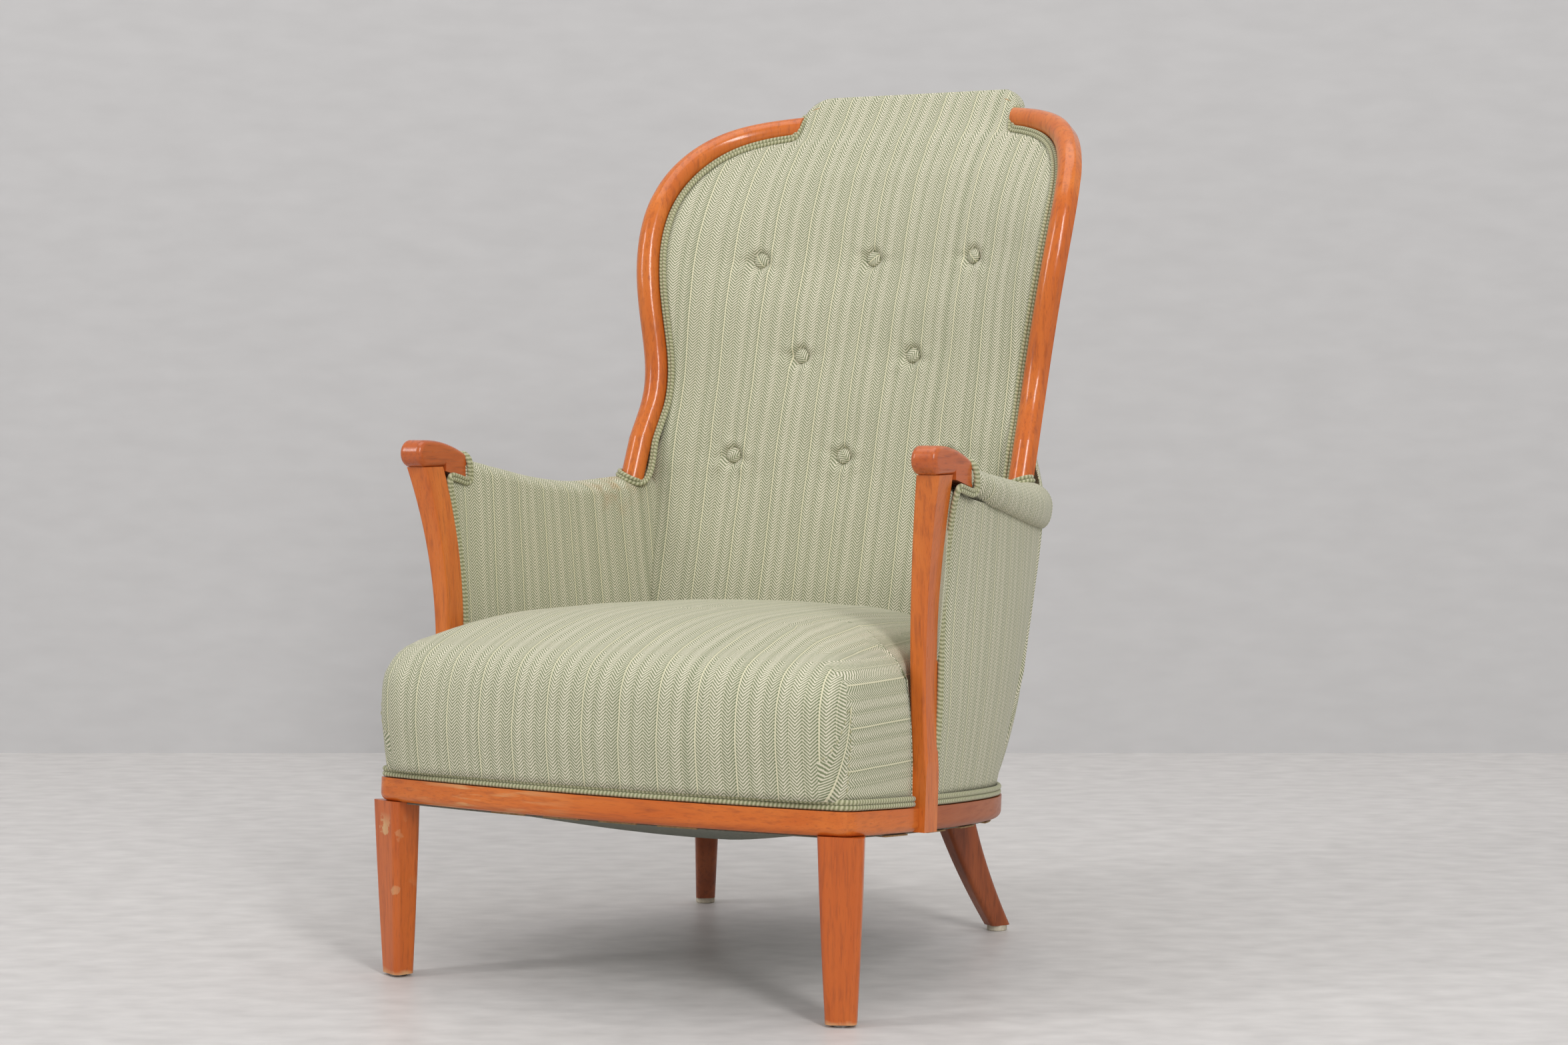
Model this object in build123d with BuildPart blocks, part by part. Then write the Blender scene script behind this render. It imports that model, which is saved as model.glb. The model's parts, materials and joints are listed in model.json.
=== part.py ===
from build123d import *
from math import atan, cos, degrees, radians, sin, sqrt, tan
import os

os.makedirs("parts", exist_ok=True)

# All sizes are millimetres. +Z is up, the chair faces -Y, and every depth runs back from the seat's front.
overall_depth = 835.0
crest_height = 1032.0
front_y = -overall_depth / 2
clearance = 0.3
cloth = 2.0

# Seat frame: a bowed front, bulging sides and a round back, tilted back
frame_tilt = radians(4.6)
rail_lift = 201.0
rail_height = 68.0
rail_thickness = 34.0
lip_height = 26.0
lip_round = 9.0
ledge = 9.0
apron_setback = 6.0
corner_half = 293.0
corner_depth = 45.0
corner_round = 24.0
widest_half = 313.0
widest_depth = 255.0
flank_half = 301.0
flank_depth = 391.0
tub_depth = 623.0
tub_radius = 380.0
back_joint_depth = 445.0

# Legs and glides
front_leg_half = 277.5
front_leg_depth = 61.0
front_leg_turn = 24.0
front_leg_top = (50.0, 37.0)
front_leg_waist = (42.0, 31.0)
front_leg_foot = (33.0, 25.0)
front_glide_height = 3.0
front_glide_radius = 10.0
rear_leg_half = 204.7
rear_leg_depth = 627.5
rear_leg_splay_back = 0.51
rear_leg_splay_out = 0.31
rear_leg_straighten = 165.0
rear_leg_top = (47.0, 33.0)
rear_leg_foot = (27.0, 24.0)
rear_leg_shares = (0, 0.35, 0.7, 1)
rear_glide_height = 7.0
rear_glide_radius = 12.0
glide_round = 1.5
leg_round = 7.0

# Arm posts and caps
post_half = 309.0
post_depth = 190.0
post_foot = (18.0, 31.0)
post_foot_height = 74.0
post_waist = (18.5, 34.0)
post_waist_half = 303.5
post_waist_depth = 203.0
post_waist_height = 372.0
post_head = (27.0, 38.0)
post_head_half = 324.0
post_head_depth = 185.0
post_round = 3.0
post_shadow = 72.0
cap_joint_height = 564.0
cap_top_height = 595.0
cap_length = 93.0
cap_width = 30.0
cap_nose = 15.5
cap_tail_height = 578.5
cap_lip_height = 549.0
cap_notch_height = 558.5
cap_overhang = 12.0
cap_notch_gap = 2.0
cap_round = 6.0

# Exposed back frame: half width, depth and height of the points that its centre line passes through
stile_foot = (268.0, 420.0, 236.0)
stile_bend = (262.0, 565.0, 590.0)
stile_waist = (258.5, 591.0, 640.0)
stile_rise = (271.6, 605.0, 758.6)
stile_flare = (280.7, 623.1, 848.2)
arch_shoulder = (270.0, 673.5, 924.3)
arch_crown = (226.9, 737.2, 973.2)
arch_end = (135.0, 798.8, 994.3)
arch_end_way = (-0.862, 0.495, 0.111)
frame_width = 29.0
frame_crown = 12.0
frame_depth = 11.0
frame_edge = 2.0
frame_upturn = 0.12
stile_shadow = 80.0
shoulder_share = 0.58
section_steps = 6
edge_steps = 10
barrel_turn = 22.0
arch_lean = 0.62

# Crest, inside back and its buttons
crest_half = 148.0
crest_round = 34.0
crest_step = 6.0
crest_board_thickness = 11.0
crest_board_height = 72.0
crest_padding = 13.0
back_pad_low = 290.0
back_pad_half = 246.0
tuft_radius = 55.0
tuft_rake = radians(18.0)
button_radius = 10.0
button_height = 6.0
button_rows = [
    dict(height=814.0, centre=698.0, side_half=147.8, side=673.2),
    dict(height=693.0, centre=None, side_half=77.3, side=650.6),
    dict(height=569.5, centre=615.6, side_half=148.6, side=602.8),
]
button_seat = 1.3
button_round = 2.0
padding_reach = 14.0

# Rings of the inside back: height, depth of the cloth at the middle and the barrel's radius
back_rings = [
    dict(height=280.0, depth=530.0, radius=700.0),
    dict(height=335.0, depth=544.5, radius=700.0),
    dict(height=390.0, depth=560.0, radius=700.0),
    dict(height=480.0, depth=582.0, radius=790.0),
    dict(height=570.0, depth=605.0, radius=880.0),
    dict(height=635.0, depth=625.0, radius=810.0),
    dict(height=693.0, depth=645.0, radius=732.0),
    dict(height=760.0, depth=668.0, radius=620.0),
    dict(height=814.0, depth=688.0, radius=530.0),
    dict(height=870.0, depth=709.5, radius=530.0),
    dict(height=925.0, depth=734.0, radius=540.0),
    dict(height=960.0, depth=759.0, radius=740.0),
    dict(height=995.0, depth=792.0, radius=1000.0),
    dict(height=1045.0, depth=818.0, radius=1000.0),
]
# Rings of the outside back: height, the edge behind the stile, the middle and how full the curve is
outer_rings = [
    dict(height=400.0, half=294.0, edge=506.0, crown=640.0, fullness=0.6),
    dict(height=486.0, half=299.5, edge=524.0, crown=654.0, fullness=0.58),
    dict(height=590.0, half=280.0, edge=596.0, crown=672.0, fullness=0.47),
    dict(height=750.0, half=285.0, edge=634.0, crown=718.0, fullness=0.46),
    dict(height=871.0, half=290.0, edge=663.0, crown=768.0, fullness=0.46),
    dict(height=960.0, half=290.0, edge=722.0, crown=814.0, fullness=0.46),
    dict(height=1018.0, half=290.0, edge=740.0, crown=overall_depth, fullness=0.46),
]
quarter_share = 0.74
outer_back_half = 305.0
outer_back_margin = 4.5
outer_back_shelf = 552.0
outer_back_low = 120.0

# Seat cushion rings: height and how far the front, the sides and the back are drawn in
seat_corner_half = 291.0
seat_corner_depth = 58.0
seat_bow = 34.0
seat_front_shares = (0.3, 0.6, 0.85)
seat_widest_share = 0.36
seat_flank_spare = 24.0
seat_post_half = 305.0
seat_inner_half = 291.0
seat_flank_half = 264.0
seat_flank_depth = 380.0
seat_rear_half = 224.0
seat_rear_depth = 494.0
seat_back_depth = 530.0
seat_rear_round = 26.0
seat_rings = [
    dict(height=300.0, front=1.0, side=0.0, back=0.0),
    dict(height=340.0, front=5.0, side=2.0, back=-5.0),
    dict(height=368.0, front=27.0, side=9.0, back=-9.0),
    dict(height=388.0, front=92.0, side=52.0, back=2.0),
    dict(height=398.0, front=150.0, side=110.0, back=50.0),
]
seat_base = dict(front=12.0, side=2.5, back=22.0)

# Arm rings: inside face low and high, top, outer edge of the roll and its underside
arm_low = 290.0
arm_rings = [
    dict(depth=214.0, low=294.5, inner=298.5, top=577.0, roll=349.0, under=542.0),
    dict(depth=300.0, low=281.0, inner=293.0, top=563.0, roll=347.0, under=528.0),
    dict(depth=380.0, low=265.5, inner=283.0, top=549.0, roll=340.0, under=512.0),
    dict(depth=460.0, low=245.5, inner=268.0, top=541.0, roll=330.0, under=499.0),
    dict(depth=545.0, low=220.0, inner=247.0, top=545.0, roll=305.0, under=491.0),
]
arm_slab = 24.0
arm_slab_foot = 9.0
arm_rail_taper = 8.0
arm_shoulder = 18.0
roll_overhang = 13.0
arm_rail_height = 42.0
arm_end_depth = 515.0
arm_end_rake = 0.273
arm_end_height = 390.0
panel_seam_depth = 470.0
panel_end_depth = 522.0
panel_end_half = 301.0

# Trim
piping_height = 9.0
piping_inset = 0.8
piping_band = 5.0
piping_groove = 1.2
back_piping_width = 9.0
back_piping_depth = 11.0
back_piping_gap = 1.5
back_piping_round = 2.5
piping_start = 0.06

# Springs, webbing, cloths and fasteners
strip_width = 45.0
strip_thickness = 1.5
strip_halves = (35.0, 105.0)
strip_depths = (150.0, 240.0, 330.0, 420.0)
spring_depths = (190.0, 285.0, 380.0)
spring_radius = 28.0
spring_wire = 1.8
spring_height = 130.0
spring_pitch = 26.0
well_width = 290.0
well_length = 280.0
hessian = 1.2
sag = 28.0
sag_inset = 150.0
dust_inset = 22.0
leg_cutout = 44.0
block_size = 120.0
block_lift = 6.0
block_height = 50.0
screw_radius = 2.5
screw_length = 52.0
screw_head_radius = 5.0
screw_inset = 20.0
screw_stagger = 8.0
front_screw_setback = 34.0
side_screw_setback = 38.0
dowel_radius = 5.0
dowel_length = 60.0
dowel_heights = (17.0, 54.0)
tack_rail_height = 45.0
back_strip_middles = (-180.0, -90.0, 0.0, 90.0, 180.0)

frame_plane = Plane(
    origin=(0, front_y, rail_lift), x_dir=(1, 0, 0), z_dir=(0, sin(frame_tilt), cos(frame_tilt))
)


def save(piece, name):
    """Label a finished piece and write it to its own file."""
    piece.part.label = name
    export_step(piece.part, f"parts/{name}.step")


def save_pair(piece, name):
    """Write the piece on the right and its mirror image on the left."""
    save(piece, f"{name}_right")
    with BuildPart() as twin:
        mirror(piece.part, about=Plane.YZ)
    save(twin, f"{name}_left")


def at(half, depth, height):
    """Point of the chair at a half width, a depth from the front and a height."""
    return Vector(half, front_y + depth, height)


def level(height):
    """Horizontal plane at a height, with its origin at the seat's front."""
    return Plane(origin=(0, front_y, height), x_dir=(1, 0, 0), z_dir=(0, 0, 1))


def circle_through(a, b, c):
    """Centre and radius of the circle through three points of the plan."""
    ax, ay = b[0] - a[0], b[1] - a[1]
    bx, by = c[0] - a[0], c[1] - a[1]
    turn = 2 * (ax * by - ay * bx)
    ux = (by * (ax * ax + ay * ay) - ay * (bx * bx + by * by)) / turn
    uy = (ax * (bx * bx + by * by) - bx * (ax * ax + ay * ay)) / turn
    return Vector(a[0] + ux, a[1] + uy), sqrt(ux * ux + uy * uy)


# Plan of the seat frame: the side arc, the round back corner and the back arc, all tangent
side_centre, side_radius = circle_through(
    (corner_half, corner_depth), (widest_half, widest_depth), (flank_half, flank_depth)
)
flank = Vector(flank_half, flank_depth)
inward = (side_centre - flank).normalized()
tub_centre = Vector(0, tub_depth - tub_radius)
flank_arm = flank - tub_centre
nook_radius = (tub_radius**2 - flank_arm.dot(flank_arm)) / (2 * (flank_arm.dot(inward) + tub_radius))
nook_centre = flank + inward * nook_radius
nook_end = tub_centre + (nook_centre - tub_centre).normalized() * tub_radius
nook_middle = nook_centre + ((flank - nook_centre) + (nook_end - nook_centre)).normalized() * nook_radius


def tub_half(depth, inset):
    """Half width of the seat frame's plan at a depth, drawn in by an inset."""
    centre, radius = (side_centre, side_radius) if depth < flank_depth else (nook_centre, nook_radius)
    return centre.X + sqrt((radius - inset) ** 2 - (depth - centre.Y) ** 2)


def tub_outline(inset):
    """Plan of the seat frame, drawn in by an inset."""
    with BuildSketch() as outline:
        with BuildLine():
            ThreePointArc((-corner_half, corner_depth), (0, apron_setback), (corner_half, corner_depth))
            for side in (1, -1):
                ThreePointArc(
                    (side * corner_half, corner_depth),
                    (side * widest_half, widest_depth),
                    (side * flank_half, flank_depth),
                )
                ThreePointArc(
                    (side * flank_half, flank_depth),
                    (side * nook_middle.X, nook_middle.Y),
                    (side * nook_end.X, nook_end.Y),
                )
            ThreePointArc((nook_end.X, nook_end.Y), (0, tub_depth), (-nook_end.X, nook_end.Y))
        make_face()
        fillet(outline.vertices().sort_by(Axis.Y)[:2], radius=corner_round)
        if inset > 0:
            offset(amount=-inset)
    return outline.sketch


def seat_outline(front, side, back):
    """Smooth plan of the seat cushion, drawn in at the front, the sides and the back."""
    half = seat_post_half - side
    rear = seat_rear_depth - back
    right = [(share * half, front + seat_bow * share * share) for share in seat_front_shares]
    right.append((seat_corner_half - side, seat_corner_depth + front))
    right.append((half, (seat_corner_depth + front + rear) * seat_widest_share))
    right.append((seat_flank_half + seat_flank_spare - side, (post_depth + rear) / 2))
    right.append((seat_rear_half - side, rear - seat_rear_round))
    right.append((seat_rear_half - side - seat_rear_round, rear))
    left = [(-x, y) for x, y in reversed(right)]
    with BuildSketch() as outline:
        with BuildLine():
            Spline((0, front), *right, (0, seat_back_depth - back), *left, periodic=True)
        make_face()
    return outline.sketch


def upright(half, depth, height, turn):
    """Horizontal section plane centred on an upright, turned about its axis."""
    return Plane(
        origin=at(half, depth, height), x_dir=(cos(radians(turn)), sin(radians(turn)), 0), z_dir=(0, 0, 1)
    )


# Seat frame ring, then its four rails
with BuildPart() as frame_ring:
    with BuildSketch(frame_plane):
        add(tub_outline(0))
        add(tub_outline(rail_thickness), mode=Mode.SUBTRACT)
    extrude(amount=lip_height)
    lip_under = frame_ring.faces().sort_by(Axis(frame_plane.origin, frame_plane.z_dir))[0]
    fillet(lip_under.outer_wire().edges(), radius=lip_round)
    with BuildSketch(frame_plane.offset(lip_height)):
        add(tub_outline(ledge))
        add(tub_outline(rail_thickness), mode=Mode.SUBTRACT)
    extrude(amount=rail_height - lip_height)

mitre_planes = []
for hand in (1, -1):
    mitre_planes.append(
        Plane(
            origin=frame_plane.from_local_coords((hand * corner_half, corner_depth, 0)),
            z_dir=frame_plane.x_dir * hand + frame_plane.y_dir,
        )
    )
back_joint = Plane(
    origin=frame_plane.from_local_coords((0, back_joint_depth, 0)), z_dir=frame_plane.y_dir
)

# Screws hold each corner block to the front rail and to the side rail
block_half = corner_half - rail_thickness
block_depth = corner_depth + rail_thickness
screw_planes = []
for hand in (1, -1):
    screw_height = block_lift + block_height / 2
    into_front = frame_plane.from_local_coords(
        (hand * (block_half - front_screw_setback), block_depth + screw_inset, screw_height + screw_stagger)
    )
    into_side = frame_plane.from_local_coords(
        (hand * (block_half - screw_inset), block_depth + side_screw_setback, screw_height - screw_stagger)
    )
    screw_planes.append(Plane(origin=into_front, z_dir=-frame_plane.y_dir))
    screw_planes.append(Plane(origin=into_side, z_dir=frame_plane.x_dir * hand))


def screw(plane, grow):
    """Solid of one screw, head first, grown all round for its hole."""
    with BuildPart() as one:
        with BuildSketch(plane):
            Circle(screw_radius + grow)
        extrude(amount=screw_length + grow)
        with BuildSketch(plane):
            Circle(screw_head_radius + grow)
        extrude(amount=-screw_head_radius)
    return one.part


# Dowels join the side rails to the back rail
dowel_planes = []
for hand in (1, -1):
    for height in dowel_heights:
        middle_half = tub_half(back_joint_depth, (ledge + rail_thickness) / 2)
        centre = frame_plane.from_local_coords((hand * middle_half, back_joint_depth, height))
        dowel_planes.append(Plane(origin=centre, z_dir=frame_plane.y_dir))


def dowel(plane, grow):
    """Solid of one dowel across its joint, grown all round for its hole."""
    with BuildPart() as one:
        with BuildSketch(plane):
            Circle(dowel_radius + grow)
        extrude(amount=dowel_length / 2 + grow, both=True)
    return one.part


with BuildPart() as front_rail:
    add(frame_ring.part)
    for plane in mitre_planes:
        split(bisect_by=plane, keep=Keep.BOTTOM)
    for plane in screw_planes:
        add(screw(plane, clearance), mode=Mode.SUBTRACT)
save(front_rail, "front_rail")

with BuildPart() as side_rail:
    add(frame_ring.part)
    split(bisect_by=mitre_planes[0], keep=Keep.TOP)
    split(bisect_by=back_joint, keep=Keep.BOTTOM)
    split(bisect_by=Plane.YZ, keep=Keep.TOP)
    with BuildSketch(frame_plane):
        with Locations((post_half, post_depth)):
            Rectangle(post_foot[0], post_foot[1] + clearance)
    extrude(amount=rail_height, mode=Mode.SUBTRACT)
    for plane in screw_planes:
        add(screw(plane, clearance), mode=Mode.SUBTRACT)
    for plane in dowel_planes:
        add(dowel(plane, clearance), mode=Mode.SUBTRACT)
save_pair(side_rail, "side_rail")

with BuildPart() as back_rail:
    add(frame_ring.part)
    split(bisect_by=back_joint, keep=Keep.TOP)
    for plane in dowel_planes:
        add(dowel(plane, clearance), mode=Mode.SUBTRACT)
save(back_rail, "back_rail")

with BuildPart() as frame_dowels:
    for plane in dowel_planes:
        add(dowel(plane, 0))
save(frame_dowels, "frame_dowels")

with BuildPart() as corner_block:
    with BuildSketch(frame_plane.offset(block_lift)):
        add(tub_outline(rail_thickness + clearance))
        with Locations((block_half, block_depth)):
            Rectangle(block_size, block_size, rotation=45, mode=Mode.INTERSECT)
    extrude(amount=block_height)
    for plane in screw_planes[:2]:
        add(screw(plane, clearance), mode=Mode.SUBTRACT)
save_pair(corner_block, "corner_block")

with BuildPart() as block_screws:
    for plane in screw_planes:
        add(screw(plane, 0))
save(block_screws, "block_screws")

# Front legs taper and turn towards the corners
with BuildPart() as front_leg:
    leg_levels = (front_glide_height, rail_lift / 2, rail_lift + lip_height)
    for height, size in zip(leg_levels, (front_leg_foot, front_leg_waist, front_leg_top)):
        with BuildSketch(upright(front_leg_half, front_leg_depth, height, front_leg_turn)):
            RectangleRounded(*size, leg_round)
    loft()
    split(bisect_by=frame_plane, keep=Keep.BOTTOM)
save_pair(front_leg, "front_leg")

# Rear legs sweep in and forward from the splayed foot
back_bend = (rear_leg_splay_back / 2) / (2 * rear_leg_straighten)
out_bend = (rear_leg_splay_out / 2) / (2 * rear_leg_straighten)
rear_leg_crossing = rail_lift - tan(frame_tilt) * rear_leg_depth
rear_turn = degrees(atan(rear_leg_splay_back / rear_leg_splay_out))


def rear_leg_centre(height):
    """Half width and depth of the rear leg's centre at a height."""
    half = rear_leg_half - rear_leg_splay_out * height + out_bend * height**2
    depth = rear_leg_depth - rear_leg_splay_back * height + back_bend * height**2
    return half, depth


with BuildPart() as rear_leg:
    leg_top = rear_leg_crossing + lip_height
    for share in rear_leg_shares:
        height = rear_glide_height + share * (leg_top - rear_glide_height)
        size = [low + share * (high - low) for low, high in zip(rear_leg_foot, rear_leg_top)]
        with BuildSketch(upright(*rear_leg_centre(height), height, rear_turn)):
            RectangleRounded(*size, leg_round)
    loft()
    split(bisect_by=frame_plane, keep=Keep.BOTTOM)
save_pair(rear_leg, "rear_leg")

with BuildPart() as front_glides:
    for hand in (1, -1):
        with BuildSketch(upright(hand * front_leg_half, front_leg_depth, 0, 0)):
            Circle(front_glide_radius)
    extrude(amount=front_glide_height)
save(front_glides, "front_glides")

with BuildPart() as rear_glides:
    glide_half, glide_depth = rear_leg_centre(rear_glide_height)
    for hand in (1, -1):
        with BuildSketch(upright(hand * glide_half, glide_depth, 0, 0)):
            Circle(rear_glide_radius)
    extrude(amount=rear_glide_height)
    fillet(rear_glides.faces().sort_by(Axis.Z)[:2].edges(), radius=glide_round)
save(rear_glides, "rear_glides")

# Arm posts stand in the side rails and sweep out and forward to the caps
def post_form(wider, longer):
    """Solid of the right arm post, made wider and longer for the space that it needs."""
    with BuildPart() as form:
        with BuildSketch(frame_plane):
            with Locations((post_half, post_depth)):
                Rectangle(post_foot[0] + wider, post_foot[1] + longer)
        extrude(amount=post_foot_height)
        with BuildSketch(frame_plane.offset(post_foot_height)):
            with Locations((post_half, post_depth)):
                Rectangle(post_foot[0] + wider, post_foot[1] + longer)
        with BuildSketch(upright(post_waist_half, post_waist_depth, post_waist_height, 0)):
            Rectangle(post_waist[0] + wider, post_waist[1] + longer)
        with BuildSketch(upright(post_head_half, post_head_depth, cap_joint_height, 0)):
            Rectangle(post_head[0] + wider, post_head[1] + longer)
        loft()
    return form.part


with BuildPart() as arm_post:
    add(post_form(0, 0))
    long_edges = arm_post.edges().filter_by(lambda edge: edge.center().Z > rail_lift + post_foot_height)
    fillet(long_edges.filter_by(lambda edge: edge.length > cap_length), radius=post_round)
save_pair(arm_post, "arm_post")

# Caps: rounded nose, falling top and a lip that hooks down behind the post
cap_front = at(post_head_half, post_head_depth - post_head[1] / 2 - cap_overhang, 0)
cap_plane = Plane(origin=cap_front, x_dir=(0, 1, 0), z_dir=(1, 0, 0))
notch_at = cap_overhang + post_head[1] + cap_notch_gap
nose_height = cap_top_height - cap_nose
with BuildPart() as arm_cap:
    with BuildSketch(cap_plane):
        with BuildLine():
            reach = sqrt(cap_nose**2 - (nose_height - cap_joint_height) ** 2)
            nose = ThreePointArc(
                (cap_nose - reach, cap_joint_height), (0, nose_height), (cap_nose, cap_top_height)
            )
            crown = TangentArc(nose @ 1, (cap_length, cap_tail_height), tangent=nose % 1)
            Polyline(
                crown @ 1,
                (cap_length, cap_lip_height),
                (notch_at, cap_notch_height),
                (notch_at, cap_joint_height),
                nose @ 0,
            )
        make_face()
    extrude(amount=cap_width / 2, both=True)
    upper = arm_cap.edges().filter_by(lambda edge: edge.center().Z > cap_joint_height + clearance)
    fillet(
        upper.filter_by(lambda edge: abs((edge % 0.5).dot(cap_plane.z_dir)) < 0.5), radius=cap_round
    )
save_pair(arm_cap, "arm_cap")


# Back frame: a half-round section lofted along its centre line
stile_way = at(*stile_bend) - at(*stile_foot)
frame_points = (stile_bend, stile_waist, stile_rise, stile_flare, arch_shoulder, arch_crown, arch_end)
frame_path = Edge.make_spline(
    [at(*point) for point in frame_points],
    tangents=[stile_way.normalized(), Vector(*arch_end_way).normalized()],
    scale=False,
)


def frame_section(share):
    """Plane across the back frame: X points out of the back's outline and Y to the rear."""
    along = frame_path % share
    past = max(0, share - shoulder_share) / (1 - shoulder_share)
    lean = arch_lean * past * past * (3 - 2 * past)
    turn = radians(barrel_turn) * (1 - lean)
    front = Vector(-sin(turn), -cos(turn), frame_upturn + lean)
    return Plane(origin=frame_path @ share, x_dir=along.cross(front), z_dir=along)


def half_round():
    """Half-round section of the back frame, its crown to the front."""
    with BuildSketch() as section:
        with BuildLine():
            side = frame_width / 2
            ThreePointArc((-side, 0), (0, -frame_crown), (side, 0))
            rear = side - frame_edge
            Polyline((side, 0), (rear, frame_depth), (-rear, frame_depth), (-side, 0))
        make_face()
    return section.sketch


with BuildPart() as back_stile:
    with BuildSketch(frame_section(0)):
        add(half_round())
    extrude(amount=-stile_way.length - rail_height)
    split(bisect_by=frame_plane.offset(rail_height), keep=Keep.TOP)
    for step in range(section_steps + 1):
        with BuildSketch(frame_section(shoulder_share * step / section_steps)):
            add(half_round())
    loft()
save_pair(back_stile, "back_stile")

with BuildPart() as back_arch:
    for step in range(section_steps + 1):
        with BuildSketch(frame_section(shoulder_share + (1 - shoulder_share) * step / section_steps)):
            add(half_round())
    loft()
    split(bisect_by=Plane.YZ.offset(crest_half), keep=Keep.TOP)
save_pair(back_arch, "back_arch")


def frame_inner_edge(margin):
    """Front-view points along the inside of the back frame, at a margin from it."""
    points = []
    for step in range(1, edge_steps):
        plane = frame_section(step / edge_steps)
        point = plane.origin - plane.x_dir * (frame_width / 2 + margin)
        if point.X > crest_half + crest_step:
            points.append((point.X, point.Z))
    return points


def back_outline(margin, low_half, low):
    """Front view of the back panels: straight below, along the frame and up over the crest."""
    edge = frame_inner_edge(margin)
    shelf = (crest_half - clearance, edge[-1][1] + crest_step)
    with BuildSketch() as outline:
        with BuildLine():
            for hand in (1, -1):
                Polyline(
                    (0, low), (hand * low_half, low), (hand * low_half, outer_back_shelf),
                    (hand * edge[0][0], edge[0][1]),
                )
                Spline(*[(hand * half, height) for half, height in edge])
                Polyline(
                    (hand * edge[-1][0], edge[-1][1]), (hand * shelf[0], shelf[1]),
                    (hand * shelf[0], crest_height), (0, crest_height),
                )
        make_face()
        fillet(outline.vertices().sort_by(Axis.Y)[-2:], radius=crest_round)
    return outline.sketch


def outer_curve(points, inset):
    """Outside back ring through its right-hand points, moved in towards the middle by an inset."""
    (half, edge), crown = points[0], points[-1][1]
    rise = crown - edge
    centre = Vector(0, crown - (half * half + rise * rise) / (2 * rise))
    right = []
    for point in points:
        spot = Vector(*point)
        moved = spot + (centre - spot).normalized() * inset
        right.append((moved.X, moved.Y))
    return right + [(-x, y) for x, y in reversed(right[:-1])]


def outer_points():
    """Planes and right-hand points of the outside back, from the seat frame up to the crest."""
    face = piping_inset + piping_band + clearance
    base = [
        (tub_half(panel_seam_depth, face), panel_seam_depth),
        (nook_middle.X - face * sqrt(0.5), nook_middle.Y - face * sqrt(0.5)),
        (0, tub_depth - face),
    ]
    rings = [(frame_plane.offset(lip_height + piping_height + 2 * clearance), base)]
    for ring in outer_rings:
        quarter = ring["edge"] + (ring["crown"] - ring["edge"]) * ring["fullness"]
        points = [(ring["half"], ring["edge"]), (quarter_share * ring["half"], quarter), (0, ring["crown"])]
        rings.append((level(ring["height"]), points))
    return rings


def inside_back(proud):
    """Blank of the inside back, its cloth face standing proud by a thickness."""
    with BuildPart() as blank:
        for ring in back_rings:
            drop = outer_back_half**2 / (2 * ring["radius"])
            face = ring["depth"] + cloth - proud
            with BuildSketch(level(ring["height"])):
                with BuildLine():
                    ThreePointArc(
                        (-outer_back_half, face - drop), (0, face), (outer_back_half, face - drop)
                    )
                    Line((outer_back_half, face - drop), (outer_back_half, overall_depth))
                    Line((outer_back_half, overall_depth), (-outer_back_half, overall_depth))
                    Line((-outer_back_half, overall_depth), (-outer_back_half, face - drop))
                make_face()
        loft()
    return blank.part


def outside_back(inset):
    """Space inside the outside back, its rear face moved in by an inset."""
    with BuildPart() as blank:
        for plane, points in outer_points():
            ring = outer_curve(points, inset)
            with BuildSketch(plane):
                with BuildLine():
                    curve = Spline(*ring)
                    Polyline(curve @ 1, (ring[-1][0], 0), (ring[0][0], 0), curve @ 0)
                make_face()
        loft()
    return blank.part


def back_sheet(inset, thickness):
    """Sheet that follows the outside back, its outer face moved in by an inset."""
    with BuildPart() as sheet:
        for plane, points in outer_points():
            with BuildSketch(plane):
                with BuildLine():
                    outer = Spline(*outer_curve(points, inset))
                    inner = Spline(*outer_curve(points, inset + thickness))
                    Line(outer @ 0, inner @ 0)
                    Line(outer @ 1, inner @ 1)
                make_face()
        loft()
    return sheet.part


# Sewn tufts: a button pulls the padding in at each point
button_points = []
for row in button_rows:
    if row["centre"] is not None:
        button_points.append(at(0, row["centre"], row["height"]))
    for hand in (1, -1):
        button_points.append(at(hand * row["side_half"], row["side"], row["height"]))
tuft_axis = Vector(0, -cos(tuft_rake), sin(tuft_rake))


def tufted(blank, margin, grow):
    """Back piece cut to the frame's opening, with a round hollow at each button."""
    with BuildPart() as piece:
        add(blank)
        with BuildSketch(Plane.XZ) as opening:
            add(back_outline(margin, back_pad_half, back_pad_low))
        extrude(amount=overall_depth, both=True, mode=Mode.INTERSECT)
        for point in button_points:
            with Locations(point + tuft_axis * tuft_radius):
                Sphere(tuft_radius + grow, mode=Mode.SUBTRACT)
    return piece.part


pad_margin = back_piping_width + 2 * back_piping_gap
board_front = overall_depth - cloth - 2 * clearance - crest_board_thickness
board_top = crest_height - crest_padding
with BuildPart() as back_padding:
    add(tufted(inside_back(0), pad_margin, cloth))
    add(outside_back(padding_reach), mode=Mode.INTERSECT)
    with BuildSketch(level(board_top - crest_board_height - clearance)):
        with Locations((0, board_front + overall_depth / 2 - clearance)):
            Rectangle(2 * crest_half, overall_depth)
    extrude(amount=crest_board_height + 2 * clearance, mode=Mode.SUBTRACT)
save(back_padding, "back_padding")

with BuildPart() as back_cover:
    add(tufted(inside_back(cloth), pad_margin, 0))
    add(tufted(inside_back(0), pad_margin, cloth), mode=Mode.SUBTRACT)
save(back_cover, "back_cover")

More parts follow.
